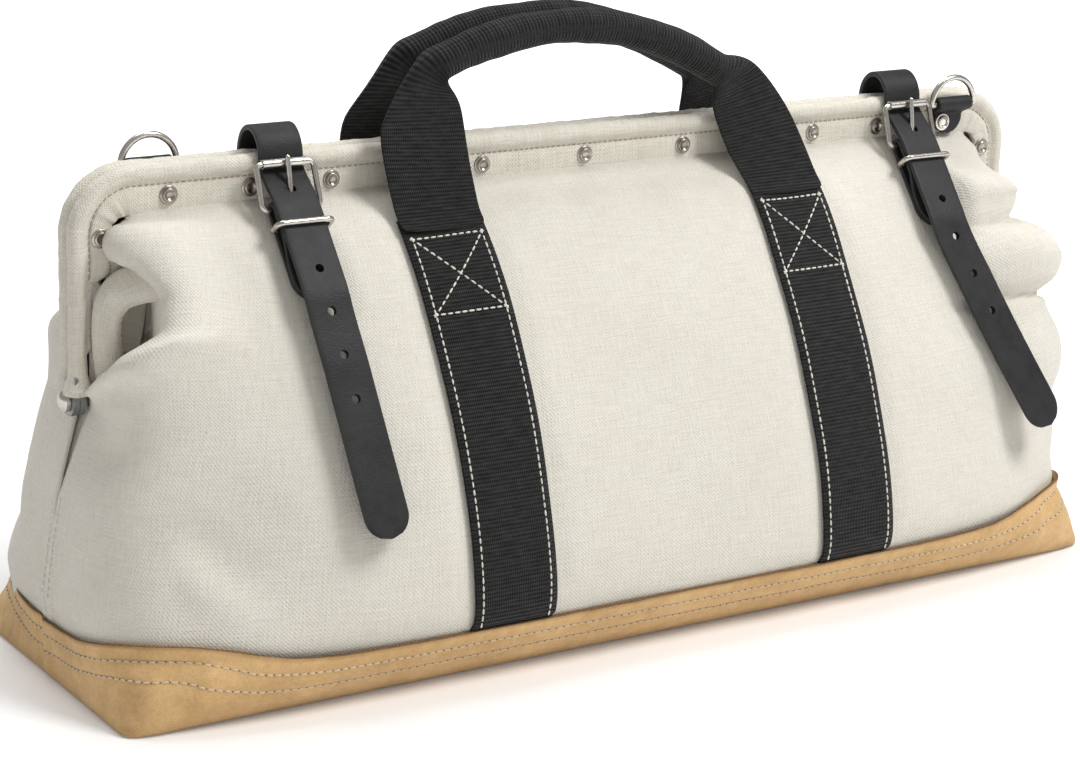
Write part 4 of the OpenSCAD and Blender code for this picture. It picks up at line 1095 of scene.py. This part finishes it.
# %% [markdown]
# ## Chapes and ring tabs
#
# A chape is a short strap folded round the buckle's heel bar, with a slot for the tongue, both plies riveted to
# the canvas. A ring tab does the same for a D-ring, and narrows to a rounded tip on its rivet. Both are one strip
# that goes up, round the bar and down again.

# %% Chapes round the heel bars
for end, section in sections.items():
    def chord(out, up):
        return np.array(section.on_chord(out, up))
    inner, outer = CHAPE_LIFT + CHAPE_T / 2, CHAPE_LIFT + 1.5 * CHAPE_T + 0.05
    r, heel_out = FOLD_R + CHAPE_T / 2, CHAPE_LIFT + CHAPE_T + FOLD_R
    foot = HEEL_UP - CHAPE_L
    line = [chord(inner, foot), chord(inner, HEEL_UP - 6), chord(inner, HEEL_UP)]
    line += [chord(heel_out - r * math.cos(a), HEEL_UP + r * math.sin(a)) for a in np.radians(range(12, 180, 12))]
    line += [chord(heel_out + r, HEEL_UP), chord(heel_out + r, HEEL_UP - 18), chord(outer, HEEL_UP - 30),
             chord(outer, foot)]
    line = rounded(line, 3.0, 1.3)
    run = steps(line)
    chape = strip_piece(end + "_chape_leather", at_place(line, section.x), -facing(line),
                        tip_widths(run, STRAP_W - 0.4, 12, 12), CHAPE_T - 0.1, leather)
    slot_w, tall = WIRE + 4.6, 2 * (FOLD_R + CHAPE_T) + 1
    box = bmesh.new()
    bmesh.ops.create_cube(box, size=1)
    for corner in box.verts:
        across, out_from, up_from = corner.co.x * slot_w, corner.co.y * 14, corner.co.z * tall
        y, z = section.on_chord(heel_out + 4.5 + out_from, HEEL_UP + up_from)
        corner.co = (MM * (section.x + across), MM * y, MM * z)
    cut_away(chape, box, 40)
    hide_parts(end + "_chape")
    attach(chape, "front_frame")
    print(chape.name, round(float(run[-1])), "mm of leather")

# %% Tabs of the D-rings
RIVET_Z, RING_Y, RING_Z, TAB_T, TAB_W = 251.2, 15.4, 262.2, 2.4, 24.8
TAB_FOLD, FLANGE_FACE = 3.6 / 2 + 0.3, 7.65
for name, x, side in (("right_ring_tab", 256.0, "front"), ("left_ring_tab", -251.0, "back")):
    back_y, front_y = -FLANGE_FACE - 0.3 - TAB_T / 2, -FLANGE_FACE - 0.6 - 1.5 * TAB_T
    r, low, meet = TAB_FOLD + TAB_T / 2, RIVET_Z - 7, RIVET_Z + 6
    line = [(back_y, low), (back_y, meet)]
    line += [(-RING_Y + r * math.cos(a), RING_Z + r * math.sin(a)) for a in np.radians(range(-35, 216, 12))]
    line += [(front_y, meet), (front_y, low)]
    line = rounded(line, 2.0, 1.0)
    run = steps(line)
    widths = 20 + (TAB_W - 20) * ease(line[:, 1], meet - 2, meet + 3)
    widths = np.minimum(widths, tip_widths(run, 20.0, 10, 10) + 60 * ease(line[:, 1], meet - 4, meet))
    tab = strip_piece(name + "_leather", on_side(at_place(line, x), side), on_side(-facing(line), side), widths,
                      TAB_T, leather)
    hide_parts(name)
    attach(tab, side + "_frame")
    print(tab.name, round(float(run[-1])), "mm of leather")

# %% [markdown]
# ## Rivets
#
# All the plain rivets look alike: a domed rim, a raised ring and a dimple. That is a case for Geometry Nodes. One
# point is placed for each rivet, and the tree sets a cap on every point, each turned by a random angle from a
# fixed seed, because no two are driven in alike. The tree's named inputs are the cap, its size and the seed. It
# ends in Realize Instances, and the result is kept as a plain mesh for each body.

# %% Trees of geometry nodes
def new_tree(name, sockets):
    """Geometry node tree with named inputs; returns the tree, what is given to it, and the socket of its result."""
    tree = bpy.data.node_groups.new(name, "GeometryNodeTree")
    tree.interface.new_socket("Geometry", in_out="OUTPUT", socket_type="NodeSocketGeometry")
    tree.interface.new_socket("Geometry", in_out="INPUT", socket_type="NodeSocketGeometry")
    for label, kind, value in sockets:
        made = tree.interface.new_socket(label, in_out="INPUT", socket_type="NodeSocket" + kind)
        if value is not None:
            made.default_value = value
    given = tree.nodes.new("NodeGroupInput").outputs
    return tree, given, tree.nodes.new("NodeGroupOutput").inputs[0]


def set_out(tree, inputs, finish):
    """Shapes on points, made real, with a finish."""
    placed = step_node(tree, "GeometryNodeInstanceOnPoints", inputs)
    real = step_node(tree, "GeometryNodeRealizeInstances", [(0, placed.outputs[0])])
    return step_node(tree, "GeometryNodeSetMaterial", [("Geometry", real.outputs[0]), ("Material", finish)])


def grow(name, tree, source, values):
    """Run a tree on a source object and keep the result as a plain mesh."""
    live = source.modifiers.new("grow", "NODES")
    live.node_group = tree
    for label, value in values.items():
        socket = next(s for s in tree.interface.items_tree if s.name == label and s.in_out == "INPUT")
        live[socket.identifier] = value
    source.name = name
    return settled(source)


def points_object(places):
    mesh = bpy.data.meshes.new("points")
    mesh.from_pydata([[c * MM for c in place] for place in places], [], [])
    return linked("points", mesh)


# %% Tree that sets a shape on points
rivet_tree, given, result = new_tree("rivet_row", [
    ("Cap", "Object", None), ("Cap size", "Float", 1.0), ("Seed", "Int", 7), ("Finish", "Material", None)])
cap_shape = step_node(rivet_tree, "GeometryNodeObjectInfo", [("Object", given["Cap"])])
spin = step_node(rivet_tree, "FunctionNodeRandomValue", [
    (0, (-0.05, -3.14, -0.05)), (1, (0.05, 3.14, 0.05)), ("Seed", given["Seed"])], data_type="FLOAT_VECTOR")
coated = set_out(rivet_tree, [
    ("Points", given["Geometry"]), ("Instance", cap_shape.outputs["Geometry"]),
    ("Rotation", spin.outputs[0]), ("Scale", given["Cap size"])], given["Finish"])
rivet_tree.links.new(coated.outputs[0], result)
print("inputs:", [socket.name for socket in rivet_tree.interface.items_tree if socket.in_out == "INPUT"])


# %% [markdown]
# The cap itself is turned, as on a lathe: a profile of radii and heights, spun round the rivet's axis.

# %% Rivet caps
def turned(name, profile, way, sides=36):
    """Mesh spun round the y axis from (radius, height) pairs; way is the side it faces."""
    spin_to = np.radians(np.arange(sides) * 360 / sides)
    rows = [np.stack([r * np.cos(spin_to), way * h + 0 * spin_to, r * np.sin(spin_to)], -1) for r, h in profile]
    flat = np.zeros((len(rows), sides + 1))
    made = grid_piece(name, np.array(rows), flat, flat, nickel, closed=True, caps=True)
    made.data.set_sharp_from_angle(angle=math.radians(45))
    return made


CAP = [(0.01, -0.4), (5.0, -0.4), (5.0, 0.25), (4.8, 0.5), (4.3, 0.66), (3.9, 0.7), (3.75, 1.6), (3.5, 2.0),
       (3.1, 2.2), (2.7, 2.1), (2.4, 1.75), (2.0, 1.35), (1.2, 1.1), (0.01, 1.05)]
rivet_xs = [0, 66, 112, 158, 205, 251]
rivet_rows = {
    "front": [(s * x, RIVET_Z) for x in rivet_xs for s in ((1, -1) if x else (1,)) if (s, x) != (1, 251)],
    "back": [(s * x, RIVET_Z) for x in rivet_xs for s in ((1, -1) if x else (1,))
             if x != 205 and (s, x) != (-1, 251)],
}
for side, way in (("front", -1), ("back", 1)):
    cap = turned("cap", CAP, way)
    places = [(x, way * FLANGE_FACE, z) for x, z in rivet_rows[side] + [(-288.2, 232.2), (288.2, 232.2)]]
    row = grow(side + "_rivet_caps", rivet_tree, points_object(places),
               {"Cap": cap, "Cap size": 1.0, "Seed": 7 + way, "Finish": rivet_nickel})
    bpy.data.objects.remove(cap)
    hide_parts(side + "_rim_rivets")
    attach(row, side + "_frame")
    print(row.name, len(places), "caps,", len(row.data.polygons), "faces")

# %% [markdown]
# ## Stitches
#
# A seam is a line on the cloth, and a stitch is a short, round piece of thread along it. The second tree walks
# along a line at one stitch's pitch and lays a small capsule there, a little longer than wide, with a few dozen
# faces because there are hundreds. Between two stitches it can set a small dark dot, painted shade for the needle
# hole. Length, thickness, pitch and seed are named inputs, so one tree sews the suede, the webbing, the bindings
# and the seams.

# %% Node tree that sews along a line
sew_tree, given, result = new_tree("sewing", [
    ("Pitch", "Float", 0.005), ("Thread", "Float", 0.0009), ("Length share", "Float", 0.78),
    ("Hole", "Float", 0.0), ("Seed", "Int", 3), ("Finish", "Material", None), ("Painted hole shade", "Material", None)])
line_curve = step_node(sew_tree, "GeometryNodeMeshToCurve", [(0, given["Geometry"])])
walked = step_node(sew_tree, "GeometryNodeCurveToPoints", [
    (0, line_curve.outputs[0]), ("Length", given["Pitch"])], mode="LENGTH")
capsule = step_node(sew_tree, "GeometryNodeMeshUVSphere", [("Segments", 6), ("Rings", 5), ("Radius", 0.5)])
long_way = step_node(sew_tree, "ShaderNodeMath", [(0, given["Pitch"]), (1, given["Length share"])],
                     operation="MULTIPLY")
size = step_node(sew_tree, "ShaderNodeCombineXYZ", [
    (0, given["Thread"]), (1, given["Thread"]), (2, long_way.outputs[0])])
vary = step_node(sew_tree, "FunctionNodeRandomValue", [
    (0, (0.85, 0.85, 0.86)), (1, (1.12, 1.12, 1.08)), ("Seed", given["Seed"])], data_type="FLOAT_VECTOR")
scaled = step_node(sew_tree, "ShaderNodeVectorMath", [(0, size.outputs[0]), (1, vary.outputs[0])],
                   operation="MULTIPLY")
sewn = set_out(sew_tree, [
    ("Points", walked.outputs["Points"]), ("Instance", capsule.outputs["Mesh"]),
    ("Rotation", walked.outputs["Rotation"]), ("Scale", scaled.outputs[0])], given["Finish"])
# the dark dots of painted shade for the needle holes, half a stitch further on
half_step = step_node(sew_tree, "ShaderNodeMath", [(0, given["Pitch"]), (1, 0.5)], operation="MULTIPLY")
along_line = step_node(sew_tree, "ShaderNodeVectorMath", [
    (0, walked.outputs["Tangent"]), (3, half_step.outputs[0])], operation="SCALE")
between = step_node(sew_tree, "GeometryNodeSetPosition", [
    ("Geometry", walked.outputs["Points"]), ("Offset", along_line.outputs[0])])
dot = step_node(sew_tree, "GeometryNodeMeshUVSphere", [("Segments", 6), ("Rings", 4), ("Radius", 0.5)])
dotted = set_out(sew_tree, [
    ("Points", between.outputs[0]), ("Instance", dot.outputs["Mesh"]), ("Scale", given["Hole"])],
    given["Painted hole shade"])
joined = step_node(sew_tree, "GeometryNodeJoinGeometry")
for part in (sewn, dotted):
    sew_tree.links.new(part.outputs[0], joined.inputs[0])
sew_tree.links.new(joined.outputs[0], result)
print("trees:", [tree.name for tree in bpy.data.node_groups])


# %% Sew along lines of points
def lines_object(lines, rings=False):
    """Mesh of edges along several lines of points in mm."""
    spots, edges = [], []
    for line in lines:
        start = len(spots)
        spots.extend((np.array(line) * MM).tolist())
        edges.extend((start + k, start + k + 1) for k in range(len(line) - 1))
        if rings:
            edges.append((len(spots) - 1, start))
    mesh = bpy.data.meshes.new("lines")
    mesh.from_pydata(spots, edges, [])
    return linked("lines", mesh)


def sew(name, lines, finish, pitch=4.6, thick=0.95, share=0.8, hole=0.0, rings=False, seed=3):
    piece = grow(name, sew_tree, lines_object(lines, rings), {
        "Pitch": pitch * MM, "Thread": thick * MM, "Length share": share, "Hole": max(hole, 0.001) * MM, "Seed": seed,
        "Finish": finish, "Painted hole shade": needle_hole})
    for face in piece.data.polygons:
        face.use_smooth = True
    print(name, len(piece.data.polygons), "faces")
    return piece


# %% [markdown]
# The suede has two rows under its upper edge, all the way round. Their path is the band's own outline, a set
# distance below the edge.

# %% Rows round the suede
rows = []
for drop in NEEDLE_ROWS:
    row = band_point(ring_x, ring_y, tops - drop, SUEDE_OUT)
    flat = row * np.array([1, 1, 0])
    flat /= np.linalg.norm(flat, axis=1, keepdims=True)
    rows.append(row + flat * (suede_relief(row) - 0.15)[:, None])
suede_rows = sew("suede_stitches", rows, buff_thread, pitch=4.6, thick=1.15, hole=0.75, rings=True)
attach(suede_rows, "bag")

# %% [markdown]
# The webbing is sewn along both edges from the base up to the stitched box, and the box has a cross in it. The
# lines lie on the strip, so they ask for the wall again, at the strip's thickness.

# %% Seams of the webbing
BOX_LOW, BOX_TOP, INSET = 187.0, 220.5, 4.5


def on_strip(centre, u, z, side):
    return on_wall(centre + u, z, WEB_GAP + WEB_T + 0.12 + 0 * z, side)


for side in ("front", "back"):
    lines = []
    for centre in WEBS.values():
        reach = WEB_W / 2 - INSET
        z = np.linspace(37, BOX_TOP, 80)
        for u in (-reach, reach):
            lines.append(on_strip(centre, u + 0 * z, z, side))
        t = np.linspace(0, 1, 24)
        for z_line in (BOX_LOW, BOX_TOP):
            lines.append(on_strip(centre, -reach + 2 * reach * t, z_line + 0 * t, side))
        for way in (-1, 1):
            lines.append(on_strip(centre, way * (-reach + 2 * reach * t), BOX_LOW + (BOX_TOP - BOX_LOW) * t, side))
    seams = sew(side + "_webbing_stitches", lines, thread, pitch=4.1, thick=1.15, share=0.84)
    hang(seams)

# %% [markdown]
# Under the bead a brownish thread runs in the crease, as far as the flange goes. On the canvas ends a seam climbs
# from the suede towards the pivot.

# %% Seams of the bindings and ends
CREASE = 5.9  # below the rod's middle
for side in ("front", "back"):
    line = np.array([(x + nx * CREASE, -(RAIL_Y + 2.25), z + nz * CREASE)
                     for (x, z), (nx, nz), width in zip(rim_places, rim_inward, rim_width) if width > 6])
    crease = sew(side + "_crease_stitches", [on_side(line, side)], brown_thread, pitch=3.4, thick=0.8, share=0.85)
    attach(crease, side + "_frame")
    z = np.linspace(47, 97, 30)
    end_lines = []
    for way in (-1, 1):
        here = plan_point(way + 0 * z, 0.035 + 0 * z, z)
        out = relief(here, side)
        end_lines.append(on_side(here + np.stack([way * (out + 0.1), 0 * z, 0 * z], -1), side))
    ends = sew(side + "_end_stitches", end_lines, thread, pitch=3.8, thick=0.8)
    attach(ends, "bag")

# %% [markdown]
# ## Free hem at the left leg
#
# At the left end the gusset's hemmed edge isn't tucked into the flange. It stands in front of the leg and curls
# forward, with a dark hollow behind it. It is a narrow sheet whose sections change from flat to curled on the way
# down.

# %% Curled hem
def curve_through(points, count):
    """Smooth line through a few points, as (count, ...) points (Catmull-Rom)."""
    points = np.array(points, float)
    padded = np.concatenate([[2 * points[0] - points[1]], points, [2 * points[-1] - points[-2]]])
    t = np.linspace(0, len(points) - 1, count)
    k = np.minimum(t.astype(int), len(points) - 2)
    f = (t - k).reshape((-1,) + (1,) * (points.ndim - 1))
    a, b, c, d = (padded[k + i] for i in range(4))
    return 0.5 * (2 * b + (c - a) * f + (2 * a - 5 * b + 4 * c - d) * f ** 2 + (3 * b - a - 3 * c + d) * f ** 3)


hem_edges = [  # outer edge x, y, z and inner edge x, y, z, from the foot up and over to the panel
    ((-291, -10.4, 153), (-279, -14, 155)), ((-293.5, -10.6, 167), (-279.5, -15.5, 167)),
    ((-295, -10.8, 186), (-281.5, -16.5, 181)), ((-293.6, -11, 201), (-282.5, -19, 192)),
    ((-288.5, -11.5, 210.5), (-280.5, -23, 198.5)), ((-280.5, -14, 217), (-276, -28, 202)),
    ((-271, -20, 221), (-269, -35, 205)), ((-261, -27, 223), (-261, -42, 208))]
out_way = np.array([-0.3, -0.94, 0.16])
sections_of_hem = []
for outer, inner in hem_edges:
    outer, inner = np.array(outer, float), np.array(inner, float)
    span = inner - outer
    sections_of_hem.append([outer + np.array([1.5, 1.6, 0]), outer, outer + 0.18 * span + 3.4 * out_way,
                            outer + 0.5 * span + 5.6 * out_way, outer + 0.82 * span + 4.4 * out_way,
                            inner + 0.6 * out_way, inner + np.array([0.2, 3.5, -0.4]),
                            inner + np.array([2.2, 8.5, -1.0])])
HEM_COLUMNS, HEM_ROWS = 29, 70
profile = curve_through(np.swapaxes(np.array(sections_of_hem), 0, 1), HEM_COLUMNS)
hem_points = curve_through(np.swapaxes(profile, 0, 1), HEM_ROWS)
hem_points[..., 1] -= 0.7 * waves(hem_points, 20, 81) * hill(np.arange(HEM_COLUMNS)[None, :], 14, 9)
u, v = np.meshgrid(steps(hem_points[20]), steps(hem_points[:, 12]))
hem = grid_piece("left_hem", hem_points, u, v, canvas_edge)
thickened(hem, PANEL_T, even=False)
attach(hem, "front_frame")
print(hem.name, round(float(v[-1, 0])), "mm long")
sewn_hem = sew("left_hem_stitches", [hem_points[3:-8, 19] + 0.25 * out_way], thread, pitch=3.4, thick=0.7)
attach(sewn_hem, "front_frame")

# %% [markdown]
# Below each pivot the front and the back panel stand apart to let the frame's legs through. The gusset goes on
# behind them as an inward pleat, which closes the opening.

# %% Pleats under the pivots
for end, way in (("left", -1), ("right", 1)):
    across, z = np.meshgrid(np.linspace(1, -1, 15) * -way, np.linspace(96, 150, 26))
    gap = gap_at(z) + 3.5
    deep = 2.2 * ease(z, 97, 124) * (1 - across ** 2)
    points = np.stack([way * (length_at(z) - 0.9 - deep), -across * gap, z], -1)
    pleat = grid_piece(end + "_pleat", points, across * gap, z, canvas_edge, turn=way > 0)
    thickened(pleat, 0.8)
    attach(pleat, "bag")
    print(pleat.name, len(pleat.data.polygons), "faces")

# %% [markdown]
# ## Metal and hidden parts
#
# Buckles, rollers, tongues, keepers, D-rings and bolts are right as they come from the CAD model. They only get
# their finish.

# %% Finishes on CAD nodes
finishes = {nickel: ["buckle_frame", "roller", "tongue", "keeper", "d_ring", "hinge_bolt", "chape_rivet",
                     "anchor_rivets", "ring_rivet"],
            steel: ["frame_rod", "hinge_nut"], board: ["bottom_board"], core: ["handle_core"]}
for finish, endings in finishes.items():
    for name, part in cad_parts.items():
        if any(name.endswith(ending) for ending in endings):
            part.data.materials.clear()
            part.data.materials.append(finish)
print("CAD parts shown:", sum(not part.hide_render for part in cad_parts.values()))

# %% [markdown]
# ## Floor and light
#
# A white table under soft studio light. The floor and the world look white to the camera and to the metal, while
# the light itself stays at a plain level, so that the canvas keeps its colour. One large lamp from the right and
# front shapes the folds, and a weaker one from above and behind lights the rail and the handles.

# %% Floor
net = Net("floor", Roughness=0.9, Base_Color=(0.93, 0.93, 0.93, 1), Emission_Color=(1, 1, 1, 1))
seen = net.add("LightPath").outputs
away = net.add("VectorMath", [(0, net.body())], operation="LENGTH").outputs["Value"]
level = net.add("MapRange", [(0, away), (1, 0.45), (2, 2.2), (3, 0.1), (4, 0.9)]).outputs[0]
glow = net.calc("MULTIPLY", net.calc("MAXIMUM", seen["Is Camera Ray"], seen["Is Glossy Ray"]), level)
net.link(glow, net.shader.inputs["Emission Strength"])
mesh = bpy.data.meshes.new("floor")
FLOOR = 40  # half its width, in metres
mesh.from_pydata([(a * FLOOR, b * FLOOR, 0) for a, b in ((-1, -1), (1, -1), (1, 1), (-1, 1))], [], [(0, 1, 2, 3)])
floor = finished("floor", mesh, net.owner)
print("floor", 2 * FLOOR, "m wide")

# %% World and lamps
FILL_LEVEL = 0.4  # of the world's light on the bag
world = bpy.data.worlds.new("studio")
bpy.context.scene.world = world
net = Net(world)
seen = net.add("LightPath").outputs
bright = net.calc("MAXIMUM", seen["Is Camera Ray"], seen["Is Transmission Ray"])
level = net.add("MapRange", [("Value", bright), ("To Min", FILL_LEVEL), ("To Max", 1.0)])
background = net.nodes["Background"]
net.link(level.outputs[0], background.inputs["Strength"])
background.inputs["Color"].default_value = (1, 1, 1, 1)


def lamp(name, place, aim, size, power):
    data = bpy.data.lights.new(name, "AREA")
    data.shape, data.size, data.energy = "DISK", size, power
    made = linked(name, data)
    made.location = place
    made.rotation_euler = (Vector(aim) - Vector(place)).to_track_quat("-Z", "Y").to_euler()


lamp("key", (1.15, -1.3, 2.4), (0, 0, 0.12), 1.1, 52)
lamp("top", (0.1, 0.7, 2.4), (0, 0, 0.2), 1.5, 24)
bpy.context.scene.view_settings.view_transform = "Standard"
print("lamps:", len(bpy.data.lights))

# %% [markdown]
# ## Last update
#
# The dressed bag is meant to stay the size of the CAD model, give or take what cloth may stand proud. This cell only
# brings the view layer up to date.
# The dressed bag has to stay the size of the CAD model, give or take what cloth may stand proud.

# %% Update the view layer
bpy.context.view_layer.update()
